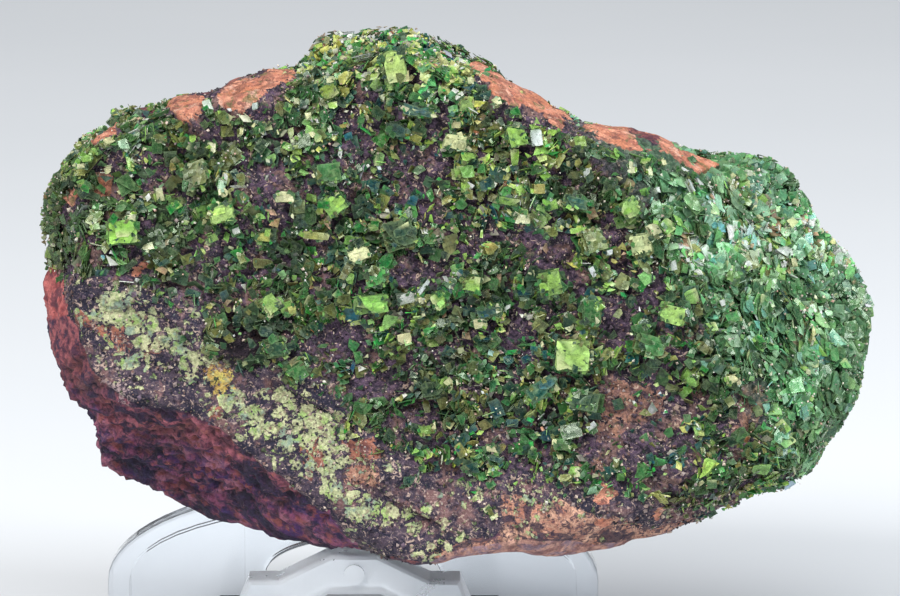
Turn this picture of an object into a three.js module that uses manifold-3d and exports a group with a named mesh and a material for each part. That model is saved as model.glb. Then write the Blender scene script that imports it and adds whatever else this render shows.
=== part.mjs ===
// Metatorbernite specimen: an iron-stained rock fragment whose broad front face carries a druse of
// green square plates, resting on a small clear moulded stand.
// Millimetres, +Z up, -Y is the crystal face. The origin is the middle of the footprint box on the floor.
import * as THREE from "three";
import { mergeVertices } from "three/addons/utils/BufferGeometryUtils.js";
import Module from "manifold-3d";

const wasm = await Module();
wasm.setup();

// ---------------------------------------------------------------- driving dimensions
const LEAN_DEG = 10; // the stone leans back on its stand by this angle
const VIEW_DISTANCE = 420; // distance over which the silhouette cone closes
const CROWN_HEIGHT = 12.72; // top of the stand's front crown above the floor
const STONE_LIFT = 38.79; // height of the stone's own origin above the floor
const SHIFT_X = -0.956; // stone axes to the middle of the footprint box
const SHIFT_Y = -17.346;
const GAP = 0.3; // clearance between touching pieces

const DRUSE_TOP = 0.12; // outer face of the druse lies this deep below the tallest tips
const DRUSE_ROOT = 1.5; // rock face under the druse lies this deep
const LEDGE_DROP = 1.0; // the powdery ledge beside the druse lies this much lower

// ---------------------------------------------------------------- the stone, in its own axes
// u to the right, w away from the viewer, v up, millimetres.
const CENTRE = { u: 0.5, w: 16.5, v: -0.2 };
// Silhouette radius about (u, v) = CENTRE every 3 degrees from +u towards +v.
const SILHOUETTE = [
  40.3, 39.5, 38.4, 37.1, 35.7, 35.4, 35.0, 34.5, 33.5, 31.7, 29.2, 26.9, 25.9,
  25.4, 24.5, 23.7, 22.5, 21.8, 21.1, 20.9, 21.0, 20.8, 21.1, 21.4, 21.4, 21.6,
  22.1, 23.5, 24.3, 24.9, 26.0, 26.2, 26.5, 27.1, 28.0, 28.5, 28.1, 28.0, 29.0,
  29.4, 28.2, 27.3, 27.8, 28.7, 29.2, 30.0, 30.3, 31.5, 33.4, 34.7, 38.4, 37.5,
  38.9, 39.5, 40.2, 40.6, 40.7, 40.3, 39.9, 40.4, 39.9, 39.8, 39.6, 38.7, 38.2,
  37.4, 36.6, 36.8, 37.6, 37.0, 35.2, 33.8, 33.1, 32.2, 32.1, 31.8, 30.8, 30.1,
  29.2, 28.2, 28.1, 28.1, 26.6, 26.1, 25.8, 26.2, 26.0, 26.2, 25.7, 25.4, 24.8,
  24.6, 24.6, 24.6, 24.7, 25.1, 25.9, 26.6, 27.6, 27.9, 28.7, 29.8, 28.9, 29.5,
  30.2, 30.6, 31.8, 32.3, 33.5, 34.3, 36.4, 37.7, 38.0, 38.3, 39.0, 39.5, 39.8,
  39.7, 39.8, 40.1,
];
// Depth at which the silhouette edge lies, every 15 degrees from +u towards +v.
const RIM_DEPTH = [
  17, 15.5, 13, 11.5, 10.5, 8.5, 7.5, 8, 9, 9.5, 9, 8.5, 9, 11, 15, 17.5, 16, 11,
  5.5, 5, 5.5, 8, 11, 15,
];
// Front and under faces: w = w0 + gu (u - u0) + gv (v - v0).
const FRONT = { u0: -5, v0: 0, w0: 1.6, gu: 0.015, gv: 0.03 };
const RIGHT_SHOULDER = { u0: 23.1, v0: 0.3, w0: 1.7, gu: 0.73, gv: 0.43 };
const RIGHT_END = { u0: 34.5, v0: 0.0, w0: 9.0, gu: 1.15, gv: 0.4 };
const TOP_RIGHT = { u0: 11.0, v0: 17.0, w0: 3.2, gu: 1.45, gv: 2.9 };
const TOP_RIGHT_END = 24.5; // to the right of this the top bevel stops falling away and the stone bulges up
const TOP_LEFT = { u0: -21.7, v0: 19.4, w0: 3.0, gu: -0.8, gv: 2.8 };
const UNDER_A = { u0: -16.9, v0: -18.4, w0: 3.4, gu: -0.99, gv: -1.39 };
const UNDER_B = { u0: -30.0, v0: -11.2, w0: 3.4, gu: -0.38, gv: -1.55 };
const LEFT_BAND = { u0: -36.6, v0: -4.0, w0: 3.6, gu: -2.3, gv: -0.25 };
const LOWER_RIGHT = { u0: 26.0, v0: -19.6, w0: 3.4, gu: 0.5, gv: -1.7 };
// Underside: v = v0 + slope (w - w0).
const UNDERSIDE = { v0: -25.9, w0: 4.5, slope: 0.285 };
// Back faces: unit normal (u, w, v) and distance from the stone's origin.
const BACK = [
  [0.06, 0.97, -0.23, 36.5],
  [-0.1, 0.86, 0.5, 36.0],
  [-0.62, 0.76, 0.18, 37.5],
  [0.5, 0.85, 0.16, 40.5],
  [0.33, 0.78, -0.53, 38.0],
  [-0.42, 0.68, -0.6, 39.5],
  [0.35, 0.62, 0.7, 36.0],
  [-0.45, 0.55, 0.7, 37.0],
];
// Smaller fracture faces round the back, with sharp edges: unit normal (u, w, v) and distance.
const CHIPS = [
  [0.164, 0.399, 0.902, 28.35],
  [-0.769, 0.382, 0.513, 39.84],
  [-0.572, 0.729, 0.375, 36.95],
  [0.006, 0.919, 0.394, 36.38],
  [-0.349, 0.784, -0.514, 38.97],
  [0.35, 0.752, -0.558, 36.08],
  [0.742, 0.669, 0.04, 44.5],
  [-0.39, 0.921, 0.01, 38.81],
  [-0.775, 0.561, -0.292, 40.87],
  [0.598, 0.435, -0.674, 38.87],
  [0.739, 0.505, 0.445, 41.44],
  [-0.43, 0.455, 0.78, 33.96],
  [0.354, 0.71, 0.609, 35.82],
  [0.323, 0.944, 0.063, 38.58],
];
// Slow undulation of the faces: amplitude, wave vector (u, w, v), phase.
const WAVES = [
  [0.42, 0.31, 0.12, 0.22, 0.4],
  [0.36, -0.24, 0.2, 0.38, 1.9],
  [0.3, 0.45, -0.3, -0.27, 3.1],
  [0.26, 0.15, 0.42, -0.52, 4.4],
  [0.2, -0.66, 0.25, 0.31, 5.2],
  [0.16, 0.52, 0.55, 0.6, 0.9],
];

const clamp01 = (x) => Math.min(1, Math.max(0, x));
const smooth = (a, b, x) => {
  const t = clamp01((x - a) / (b - a));
  return t * t * (3 - 2 * t);
};
// Smooth maximum and minimum of two distances over a blend width k.
const smax = (a, b, k) => {
  const h = Math.max(k - Math.abs(a - b), 0) / k;
  return Math.max(a, b) + (h * h * k) / 4;
};
const smin = (a, b, k) => -smax(-a, -b, k);
// Periodic Catmull-Rom through a table of evenly spaced values.
function around(table, turn) {
  const n = table.length,
    x = (((turn % 1) + 1) % 1) * n,
    i = Math.floor(x),
    t = x - i;
  const p = (k) => table[(i + k + n) % n];
  const a = p(-1),
    b = p(0),
    c = p(1),
    d = p(2);
  return (
    b +
    0.5 *
      t *
      (c - a + t * (2 * a - 5 * b + 4 * c - d + t * (3 * (b - c) + d - a)))
  );
}
const face = (f, u, w, v) =>
  (f.w0 + f.gu * (u - f.u0) + f.gv * (v - f.v0) - w) /
  Math.sqrt(1 + f.gu * f.gu + f.gv * f.gv);

const turnOf = (ua, va) =>
  Math.atan2(va - CENTRE.v, ua - CENTRE.u) / (2 * Math.PI);

// Distance-like function of the stone: negative inside, zero at the level of the crystal tips.
function stone(u, w, v) {
  const q = 1 + w / VIEW_DISTANCE,
    ua = u / q,
    va = v / q;
  const turn = turnOf(ua, va);
  const rim = around(RIM_DEPTH, turn);
  const radius = around(SILHOUETTE, turn) + 0.15;
  const ahead = Math.max(rim - w, 0),
    behind = Math.max(w - rim, 0);
  const barrel =
    1 - 0.00042 * ahead * ahead - 0.00062 * behind * behind - 0.0015 * behind;
  const edge = Math.hypot(ua - CENTRE.u, va - CENTRE.v) - radius * barrel;
  let wave = 0;
  for (const [a, ku, kw, kv, ph] of WAVES)
    wave += a * Math.sin(ku * u + kw * w + kv * v + ph);
  // front slab: main face, right shoulder, top bevels, left band
  let f = face(FRONT, u, w, v);
  f = smax(f, face(RIGHT_SHOULDER, u, w, v), 1.6);
  f = smax(f, face(RIGHT_END, u, w, v), 3.0);
  f = smax(f, face(TOP_RIGHT, smin(u, TOP_RIGHT_END, 4.0), w, v), 0.9);
  f = smax(f, face(TOP_LEFT, u, w, v), 0.9);
  f = smax(f, face(LEFT_BAND, u, w, v), 0.8);
  f = smax(f, face(LOWER_RIGHT, u, w, v), 0.9);
  // the slab's lower left corner is broken away: a re-entrant edge between two steep faces
  const under = smin(face(UNDER_A, u, w, v), face(UNDER_B, u, w, v), 1.5);
  f = smax(f, under, 0.8);
  let b = -1e9;
  for (const [nu, nw, nv, d] of BACK)
    b = smax(b, nu * u + nw * w + nv * v - d, 3.0);
  const foot =
    (UNDERSIDE.v0 + UNDERSIDE.slope * (w - UNDERSIDE.w0) - v) /
    Math.hypot(1, UNDERSIDE.slope);
  let s = smax(f, b, 2.0) + wave * 0.55;
  s = smax(s, foot + wave * 0.2, 1.0);
  s = smax(s, edge, 0.9);
  for (const [nu, nw, nv, d] of CHIPS)
    s = smax(s, nu * u + nw * w + nv * v - d, 0.5);
  return s;
}

// Signed distance to a closed polygon in (u, v), positive inside.
function inside(poly, u, v) {
  let best = 1e9,
    odd = false;
  for (let i = 0, j = poly.length - 1; i < poly.length; j = i++) {
    const [ax, ay] = poly[j],
      [bx, by] = poly[i];
    const ex = bx - ax,
      ey = by - ay,
      px = u - ax,
      py = v - ay;
    const t = clamp01((px * ex + py * ey) / (ex * ex + ey * ey));
    best = Math.min(best, Math.hypot(px - t * ex, py - t * ey));
    if (ay > v !== by > v && u < ((bx - ax) * (v - ay)) / (by - ay) + ax)
      odd = !odd;
  }
  return odd ? best : -best;
}
// The area where the plates grow, seen from the front.
const DRUSE_AREA = [
  [-44, 6],
  [-44, 20],
  [-36, 22],
  [-31, 17.6],
  [-23, 17.4],
  [-19.5, 18.4],
  [-15, 20.6],
  [-17, 28],
  [2, 30],
  [3.2, 20.8],
  [5.2, 18.0],
  [9.8, 16.2],
  [14.8, 14.2],
  [19.6, 12.2],
  [23.0, 11.6],
  [25.5, 19],
  [36, 17],
  [46, 2],
  [44, -14],
  [33.5, -21],
  [28, -18.4],
  [23.5, -20.2],
  [18, -19.4],
  [12.5, -18.2],
  [6.5, -17.8],
  [0, -18.2],
  [-3.2, -16.0],
  [-8.0, -13.2],
  [-11.8, -9.4],
  [-18.0, -6.2],
  [-23.8, -4.6],
  [-25.2, -1.4],
  [-29.0, 0.8],
  [-34.8, 2.0],
  [-38, 3.2],
];
// The lower ledge with its powdery film, along the lower left of the face.
const LEDGE_AREA = [
  [-35.0, 0.2],
  [-29.6, -0.9],
  [-27.0, -3.2],
  [-24.6, -6.4],
  [-18.8, -8.0],
  [-13.0, -11.0],
  [-9.6, -12.8],
  [-9.0, -15.6],
  [-7.4, -19.2],
  [-4.2, -21.2],
  [-1.4, -22.9],
  [-4.4, -23.9],
  [-9.8, -20.8],
  [-13.8, -17.2],
  [-18.6, -13.4],
  [-23.6, -10.6],
  [-28.4, -8.9],
  [-33.2, -7.4],
  [-34.6, -3.6],
];
function druseDepthShare(u, w, v) {
  const q = 1 + w / VIEW_DISTANCE,
    ua = u / q,
    va = v / q,
    rim = around(RIM_DEPTH, turnOf(ua, va));
  return (
    smooth(-0.5, 0.8, inside(DRUSE_AREA, ua, va)) *
    (1 - smooth(rim + 2.0, rim + 4.5, w))
  );
}
function ledgeDepthShare(u, w, v) {
  const q = 1 + w / VIEW_DISTANCE,
    ua = u / q,
    va = v / q;
  return smooth(-1.2, 1.0, inside(LEDGE_AREA, ua, va)) * (w < 9 ? 1 : 0);
}

// ---------------------------------------------------------------- surfaces as radii over one set of directions
// Directions come from an icosphere stretched to the stone's proportions, so the triangles are of even size.
const DETAIL = 15;
const STRETCH = [40, 19, 26];
function directions() {
  const g = new THREE.IcosahedronGeometry(1, DETAIL);
  g.deleteAttribute("normal");
  g.deleteAttribute("uv");
  const m = mergeVertices(g, 1e-5);
  const pos = m.getAttribute("position"),
    out = [];
  for (let i = 0; i < pos.count; i++) {
    // the icosphere's axes are taken as (u, w, v)
    const d = new THREE.Vector3(
      pos.getX(i) * STRETCH[0],
      pos.getY(i) * STRETCH[1],
      pos.getZ(i) * STRETCH[2],
    ).normalize();
    out.push(d);
  }
  return { dirs: out, tris: Array.from(m.index.array) };
}
const { dirs, tris } = directions();
const at = (d, t) => [
  CENTRE.u + d.x * t,
  CENTRE.w + d.y * t,
  CENTRE.v + d.z * t,
];
// Distance from the centre along d where the stone function reaches -depth.
function reach(d, depth) {
  let lo = 2,
    hi = 60;
  for (let i = 0; i < 40; i++) {
    const mid = (lo + hi) / 2;
    if (stone(...at(d, mid)) + depth < 0) lo = mid;
    else hi = mid;
  }
  return (lo + hi) / 2;
}
const tipR = dirs.map((d) => reach(d, 0));
const druseShare = dirs.map((d, i) => druseDepthShare(...at(d, tipR[i])));
const rockDepth = dirs.map((d, i) =>
  Math.max(
    druseShare[i] * DRUSE_ROOT,
    ledgeDepthShare(...at(d, tipR[i])) * LEDGE_DROP,
  ),
);
const rockR = dirs.map((d, i) =>
  rockDepth[i] > 0 ? reach(d, rockDepth[i]) : tipR[i],
);

function closed(points, faces) {
  const g = new THREE.BufferGeometry();
  g.setAttribute("position", new THREE.Float32BufferAttribute(points, 3));
  g.setIndex(faces);
  g.computeVertexNormals();
  return g;
}
// The stone's axes (u, w, v) are a right-handed (x, y, z).
function rockGeometry() {
  const pts = dirs.flatMap((d, i) => at(d, rockR[i]));
  return closed(pts, tris);
}
// A shell over the directions where keep(i) holds: outer and inner skins joined by a wall along the edge.
function shellGeometry(keep, outerDepth, innerDepth) {
  const used = new Map(),
    skin = [];
  for (let i = 0; i < tris.length; i += 3) {
    const t = tris.slice(i, i + 3);
    if (t.every(keep)) skin.push(t);
  }
  // keep the largest patch that hangs together by edges, with no pinched corner
  const byEdge = new Map();
  skin.forEach((t, k) =>
    t.forEach((a, j) => {
      const b = t[(j + 1) % 3],
        key = a < b ? a + "_" + b : b + "_" + a;
      if (!byEdge.has(key)) byEdge.set(key, []);
      byEdge.get(key).push(k);
    }),
  );
  const patch = new Array(skin.length).fill(-1);
  let patches = 0;
  const sizes = [];
  skin.forEach((_, s) => {
    if (patch[s] >= 0) return;
    const stack = [s];
    patch[s] = patches;
    let n = 0;
    while (stack.length) {
      const k = stack.pop();
      n++;
      skin[k].forEach((a, j) => {
        const b = skin[k][(j + 1) % 3],
          key = a < b ? a + "_" + b : b + "_" + a;
        for (const o of byEdge.get(key))
          if (patch[o] < 0) {
            patch[o] = patches;
            stack.push(o);
          }
      });
    }
    sizes.push(n);
    patches++;
  });
  const main = sizes.indexOf(Math.max(...sizes));
  let faces = skin.filter((_, k) => patch[k] === main);
  for (let round = 0; round < 6; round++) {
    const open = new Map();
    for (const t of faces)
      t.forEach((a, j) => {
        const b = t[(j + 1) % 3];
        open.set(a + "_" + b, [a, b]);
      });
    for (const [a, b] of [...open.values()])
      if (open.has(b + "_" + a)) {
        open.delete(a + "_" + b);
        open.delete(b + "_" + a);
      }
    const starts = new Map();
    for (const [a] of open.values()) starts.set(a, (starts.get(a) || 0) + 1);
    const pinched = new Set(
      [...starts].filter(([, n]) => n > 1).map(([a]) => a),
    );
    if (!pinched.size) break;
    faces = faces.filter((t) => !t.some((a) => pinched.has(a)));
  }
  const order = [];
  for (const t of faces)
    for (const a of t)
      if (!used.has(a)) {
        used.set(a, order.length);
        order.push(a);
      }
  const n = order.length;
  const pts = [
    ...order.flatMap((i) => at(dirs[i], reach(dirs[i], outerDepth(i)))),
    ...order.flatMap((i) => at(dirs[i], reach(dirs[i], innerDepth(i)))),
  ];
  const out = [];
  const open = new Map();
  for (const t of faces) {
    const [a, b, c] = t.map((x) => used.get(x));
    out.push(a, b, c, c + n, b + n, a + n);
    for (const [p, q] of [
      [a, b],
      [b, c],
      [c, a],
    ]) {
      if (open.has(q + "_" + p)) open.delete(q + "_" + p);
      else open.set(p + "_" + q, [p, q]);
    }
  }
  for (const [p, q] of open.values()) out.push(q, p, p + n, q, p + n, q + n);
  return closed(pts, out);
}

// ---------------------------------------------------------------- the largest single plates
// Place (u, v), half edges, turn in the face, tilt about the two face axes (degrees), thickness.
const PLATES = [
  [-31.6, 6.3, 1.55, 1.3, 6, 6, -5, 0.75],
  [-22.0, 8.2, 1.25, 1.05, 12, -8, 6, 0.7],
  [-7.6, -0.6, 1.7, 1.0, 6, 7, 4, 0.7],
  [11.9, -5.5, 1.75, 1.62, -3, 4, 3, 0.8],
  [-8.7, 4.2, 1.15, 0.9, 24, 10, -6, 0.6],
  [-4.9, 6.1, 1.6, 1.45, 15, -11, 9, 0.7],
  [9.6, 1.4, 1.25, 1.25, 12, 8, 8, 0.7],
  [2.1, 1.4, 1.05, 0.8, -8, 10, -9, 0.6],
  [-5.5, 22.2, 1.25, 1.55, 10, 9, 7, 0.7],
  [8.9, -8.7, 1.9, 0.9, 33, -13, 8, 0.7],
  [21.3, -1.6, 1.35, 0.95, -12, 9, -10, 0.65],
  [13.5, -1.4, 0.95, 1.3, 5, 8, 9, 0.6],
  [18.5, 5.0, 1.1, 1.1, 12, 12, -7, 0.6],
  [17.3, 8.6, 1.15, 1.0, 41, 10, 9, 0.6],
  [-24.5, 11.8, 1.35, 1.35, 20, -10, -9, 0.7],
  [-14.8, -7.0, 1.1, 1.1, 28, -12, 6, 0.6],
  [-7.1, 1.95, 1.1, 0.95, 8, -9, -9, 0.6],
  [-11.2, 9.1, 1.2, 1.05, 38, 9, -8, 0.6],
  [0.5, 15.0, 1.2, 0.75, -9, 12, 6, 0.6],
  [6.5, 15.5, 0.9, 1.1, 14, 9, 9, 0.6],
  [19.2, -4.6, 1.5, 1.0, -14, -10, 9, 0.65],
  [12.1, 9.1, 1.35, 0.7, -10, -14, 6, 0.6],
  [13.8, 5.4, 1.25, 1.25, 18, -10, 10, 0.65],
  [-11.8, 12.0, 1.35, 1.0, 7, -9, -9, 0.65],
  [-17.4, -0.7, 0.9, 0.9, 36, 12, 9, 0.55],
  [-3.0, 18.0, 1.55, 0.65, -6, -14, 8, 0.6],
  [-1.0, -0.2, 0.85, 0.9, 30, 11, 8, 0.55],
  [3.8, -1.3, 1.25, 0.7, 14, 11, -7, 0.55],
  [13.0, -9.9, 1.55, 1.0, -10, -12, -8, 0.65],
  [-16.9, -4.8, 1.15, 1.05, 12, -13, 8, 0.6],
];
function outward(u, w, v) {
  const e = 0.05;
  const g = new THREE.Vector3(
    stone(u + e, w, v) - stone(u - e, w, v),
    stone(u, w + e, v) - stone(u, w - e, v),
    stone(u, w, v + e) - stone(u, w, v - e),
  );
  return g.normalize();
}
// Depth of the druse's outer face under the viewer's line through (u, v).
function faceDepth(ua, va, depth) {
  let lo = -12,
    hi = 24;
  for (let i = 0; i < 50; i++) {
    const w = (lo + hi) / 2,
      q = 1 + w / VIEW_DISTANCE;
    if (stone(ua * q, w, va * q) + depth > 0) lo = w;
    else hi = w;
  }
  return (lo + hi) / 2;
}
function plateGeometry(a, b, t, cut) {
  const s = new THREE.Shape();
  s.moveTo(-a + cut, -b);
  s.lineTo(a - 0.6 * cut, -b);
  s.lineTo(a, -b + 0.6 * cut);
  s.lineTo(a, b - 1.2 * cut);
  s.lineTo(a - 1.2 * cut, b);
  s.lineTo(-a + 0.5 * cut, b);
  s.lineTo(-a, b - 0.5 * cut);
  s.lineTo(-a, -b + cut);
  s.closePath();
  const g = new THREE.ExtrudeGeometry(s, {
    depth: t,
    bevelEnabled: false,
    steps: 1,
  });
  g.translate(0, 0, -t / 2);
  return g;
}

// ---------------------------------------------------------------- the clear stand, in floor axes (x, y, z)
const LEAN = THREE.MathUtils.degToRad(LEAN_DEG);
// A point of the stone's axes in floor axes, before the shift to the footprint centre.
const STAND_X = -9.4; // middle of the stand
const CROWN_Y = 2.4; // front face of the crown
const CROWN_DEEP = 4.6;
const BACK_X = -10.0;
const BACK_Y = 24.0; // front face of the rear arch
const BACK_DEEP = 3.2;
const BACK_HALF = 25.3;
const BACK_SPRING = 5.0; // where the rear arch's sides turn into its low curve
const BACK_HEIGHT = 14.8;
const RAIL_X = 12.7; // rails run this far either side of the middle
const RAIL_W = 3.4;
const RAIL_H = 3.2;
const BOSS_R = 1.05;

function upright(shape, deep, bevel, segments = 12) {
  // a shape in (x, z) given thickness along +y, with small rounded edges
  const g = new THREE.ExtrudeGeometry(shape, {
    depth: deep - 2 * bevel,
    bevelEnabled: bevel > 0,
    bevelThickness: bevel,
    bevelSize: bevel,
    bevelOffset: -bevel,
    bevelSegments: 2,
    curveSegments: segments,
  });
  g.translate(0, 0, bevel);
  g.rotateX(Math.PI / 2); // z of the extrusion runs to -y
  g.translate(0, deep, 0);
  return g;
}
function crownShape() {
  const s = new THREE.Shape();
  // stepped crown: flat top, sloping flanks, short shoulders, splayed legs
  const H = CROWN_HEIGHT;
  const right = [
    [2.3, H],
    [7.4, H - 2.5],
    [10.4, H - 2.55],
    [11.6, H - 5.4],
    [15.2, 0],
    [10.6, 0],
    [8.0, H - 6.4],
    [4.6, H - 5.0],
    [2.6, H - 4.0],
  ];
  s.moveTo(-right[0][0], right[0][1]);
  for (const [x, z] of right) s.lineTo(x, z);
  for (const [x, z] of right.slice(1).reverse()) s.lineTo(-x, z);
  s.closePath();
  return s;
}
function backShape() {
  const s = new THREE.Shape();
  const W = BACK_HALF,
    R = BACK_HEIGHT - BACK_SPRING;
  s.moveTo(-W, 0);
  s.lineTo(-W, BACK_SPRING);
  s.absellipse(0, BACK_SPRING, W, R, Math.PI, 0, true, 0);
  s.lineTo(W, 0);
  s.lineTo(9.0, 0);
  s.lineTo(9.0, 5.6);
  s.absellipse(0, 5.6, 9.0, 3.6, 0, Math.PI, false, 0);
  s.lineTo(-9.0, 0);
  s.closePath();
  return s;
}
// A window in each wing of the rear arch, so that the rim stands proud of a thin web.
function recess(sign) {
  const s = new THREE.Shape();
  const W = BACK_HALF - 2.2,
    R = BACK_HEIGHT - BACK_SPRING - 2.2;
  const x0 = 11.2;
  s.moveTo(sign * x0, 2.0);
  s.lineTo(sign * W, 2.0);
  s.lineTo(sign * W, BACK_SPRING);
  for (let i = 1; i <= 8; i++) {
    const a = (i / 8) * Math.acos(x0 / W);
    s.lineTo(sign * W * Math.cos(a), BACK_SPRING + R * Math.sin(a));
  }
  s.closePath();
  const g = new THREE.ExtrudeGeometry(s, { depth: 2, bevelEnabled: false });
  g.rotateX(Math.PI / 2);
  return g;
}

// ---------------------------------------------------------------- solids and booleans
function solid(geometry) {
  let g = geometry.index ? geometry.toNonIndexed() : geometry.clone();
  g.deleteAttribute("normal");
  g.deleteAttribute("uv");
  g = mergeVertices(g, 1e-4);
  return new wasm.Manifold(
    new wasm.Mesh({
      numProp: 3,
      vertProperties: new Float32Array(g.getAttribute("position").array),
      triVerts: new Uint32Array(g.index.array),
    }),
  );
}
function geometryOf(m) {
  const mesh = m.getMesh(),
    n = mesh.numProp,
    pts = [];
  for (let i = 0; i < mesh.numVert; i++)
    pts.push(...mesh.vertProperties.subarray(i * n, i * n + 3));
  return closed(pts, Array.from(mesh.triVerts));
}

const paint = (name, color, roughness, extra = {}) =>
  new THREE.MeshStandardMaterial({
    name,
    color,
    roughness,
    metalness: 0,
    ...extra,
  });
const ROCK = paint("rock", 0x7a4636, 0.9);
const DRUSE = paint("druse", 0x3e6b28, 0.35);
const LIME = paint("plate_lime", 0x8fc13f, 0.25);
const CLEAR = paint("clear", 0xdfe8ee, 0.08, {
  transparent: true,
  opacity: 0.35,
});

const specimen = new THREE.Group();
const stoneGroup = new THREE.Group(); // the stone's own axes, leaning back
const standGroup = new THREE.Group();
specimen.add(stoneGroup, standGroup);

function add(group, name, geometry, material) {
  const m = new THREE.Mesh(geometry, material);
  m.name = name;
  group.add(m);
  return m;
}

add(stoneGroup, "rock_matrix", rockGeometry(), ROCK);
add(
  stoneGroup,
  "metatorbernite_druse",
  shellGeometry(
    (i) => druseShare[i] > 0.8,
    () => DRUSE_TOP,
    (i) => rockDepth[i] - GAP,
  ),
  DRUSE,
);
PLATES.forEach(([ua, va, a, b, turn, tiltA, tiltB, t], k) => {
  const lift = Math.max(
    a * Math.sin(THREE.MathUtils.degToRad(Math.abs(tiltB))),
    b * Math.sin(THREE.MathUtils.degToRad(Math.abs(tiltA))),
  );
  const w = faceDepth(ua, va, DRUSE_TOP),
    q = 1 + w / VIEW_DISTANCE;
  const n = outward(ua * q, w, va * q);
  const m = add(
    stoneGroup,
    "plate_" + String(k + 1).padStart(2, "0"),
    plateGeometry(a, b, t, 0.22 * Math.min(a, b)),
    LIME,
  );
  const up = new THREE.Vector3(0, 0, 1);
  const x = new THREE.Vector3().crossVectors(up, n).normalize();
  const y = new THREE.Vector3().crossVectors(n, x);
  m.quaternion.setFromRotationMatrix(new THREE.Matrix4().makeBasis(x, y, n));
  const e = new THREE.Euler(
    THREE.MathUtils.degToRad(tiltA),
    THREE.MathUtils.degToRad(tiltB),
    THREE.MathUtils.degToRad(turn),
    "XYZ",
  );
  m.quaternion.multiply(new THREE.Quaternion().setFromEuler(e));
  m.position
    .set(ua * q, w, va * q)
    .addScaledVector(n, t / 2 + GAP + 0.12 + lift);
});

// the stand is one moulding: front crown with its round boss, rear arch with two webbed wings, floor rails
{
  const placed = (g, x, y, z) => {
    g.translate(x, y, z);
    return solid(g);
  };
  let stand = placed(upright(crownShape(), CROWN_DEEP, 0.4), STAND_X, CROWN_Y, 0);
  const boss = new THREE.CylinderGeometry(BOSS_R, BOSS_R, 1.4, 16);
  stand = stand.add(placed(boss, STAND_X, CROWN_Y + 0.3, CROWN_HEIGHT - 1.9));
  let arch = placed(upright(backShape(), BACK_DEEP, 0.35, 16), BACK_X, BACK_Y, 0);
  for (const sign of [-1, 1])
    for (const y of [BACK_Y + 1.0, BACK_Y + BACK_DEEP + 1.0])
      arch = arch.subtract(placed(recess(sign), BACK_X, y, 0));
  stand = stand.add(arch);
  for (const sign of [-1, 1]) {
    const y0 = CROWN_Y + CROWN_DEEP - 0.8,
      y1 = BACK_Y + 0.8,
      s = new THREE.Shape();
    s.moveTo(-RAIL_W / 2, 0);
    s.lineTo(RAIL_W / 2, 0);
    s.lineTo(RAIL_W / 2, RAIL_H);
    s.lineTo(-RAIL_W / 2, RAIL_H);
    s.closePath();
    stand = stand.add(
      placed(upright(s, y1 - y0, 0, 2), STAND_X + sign * RAIL_X, y0, 0),
    );
  }
  add(standGroup, "display_stand", geometryOf(stand), CLEAR);
}

stoneGroup.rotation.x = -LEAN;
stoneGroup.position.z = STONE_LIFT;
specimen.position.set(SHIFT_X, SHIFT_Y, 0);

export default specimen;
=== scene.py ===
"""Looks of the metatorbernite specimen: rough rock, druse of green plates, clear moulded stand.
Lengths are worked out in the stone's own axes in millimetres (u right, w away, v up) and written in metres."""

import math

import bpy
import numpy as np
from mathutils import Euler, Matrix, Quaternion, Vector

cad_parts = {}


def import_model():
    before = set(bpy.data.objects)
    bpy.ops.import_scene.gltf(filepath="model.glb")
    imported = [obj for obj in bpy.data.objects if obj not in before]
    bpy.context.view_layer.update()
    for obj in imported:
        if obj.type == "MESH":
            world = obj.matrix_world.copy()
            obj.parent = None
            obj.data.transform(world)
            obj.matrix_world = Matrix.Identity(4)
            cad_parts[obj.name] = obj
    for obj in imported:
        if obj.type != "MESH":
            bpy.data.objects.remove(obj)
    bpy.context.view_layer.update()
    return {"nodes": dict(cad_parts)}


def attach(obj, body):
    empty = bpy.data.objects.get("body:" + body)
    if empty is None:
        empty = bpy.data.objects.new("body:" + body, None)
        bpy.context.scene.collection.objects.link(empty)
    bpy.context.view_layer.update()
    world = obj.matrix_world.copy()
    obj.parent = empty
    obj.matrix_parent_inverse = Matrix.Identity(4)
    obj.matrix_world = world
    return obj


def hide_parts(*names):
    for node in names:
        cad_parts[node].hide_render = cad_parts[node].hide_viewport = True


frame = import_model()
rng = np.random.default_rng(20261)

# ------------------------------------------------------------------ the stone's shape, as in the solids
LEAN = math.radians(10)
VIEW = 420.0
SHIFT = np.array([-0.956, -17.346, 38.79])
CENTRE = (0.5, 16.5, -0.2)
SILHOUETTE = np.array(
    [
        40.3, 39.5, 38.4, 37.1, 35.7, 35.4, 35.0, 34.5, 33.5, 31.7, 29.2, 26.9, 25.9,
        25.4, 24.5, 23.7, 22.5, 21.8, 21.1, 20.9, 21.0, 20.8, 21.1, 21.4, 21.4, 21.6,
        22.1, 23.5, 24.3, 24.9, 26.0, 26.2, 26.5, 27.1, 28.0, 28.5, 28.1, 28.0, 29.0,
        29.4, 28.2, 27.3, 27.8, 28.7, 29.2, 30.0, 30.3, 31.5, 33.4, 34.7, 38.4, 37.5,
        38.9, 39.5, 40.2, 40.6, 40.7, 40.3, 39.9, 40.4, 39.9, 39.8, 39.6, 38.7, 38.2,
        37.4, 36.6, 36.8, 37.6, 37.0, 35.2, 33.8, 33.1, 32.2, 32.1, 31.8, 30.8, 30.1,
        29.2, 28.2, 28.1, 28.1, 26.6, 26.1, 25.8, 26.2, 26.0, 26.2, 25.7, 25.4, 24.8,
        24.6, 24.6, 24.6, 24.7, 25.1, 25.9, 26.6, 27.6, 27.9, 28.7, 29.8, 28.9, 29.5,
        30.2, 30.6, 31.8, 32.3, 33.5, 34.3, 36.4, 37.7, 38.0, 38.3, 39.0, 39.5, 39.8,
        39.7, 39.8, 40.1,
    ]
)
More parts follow.
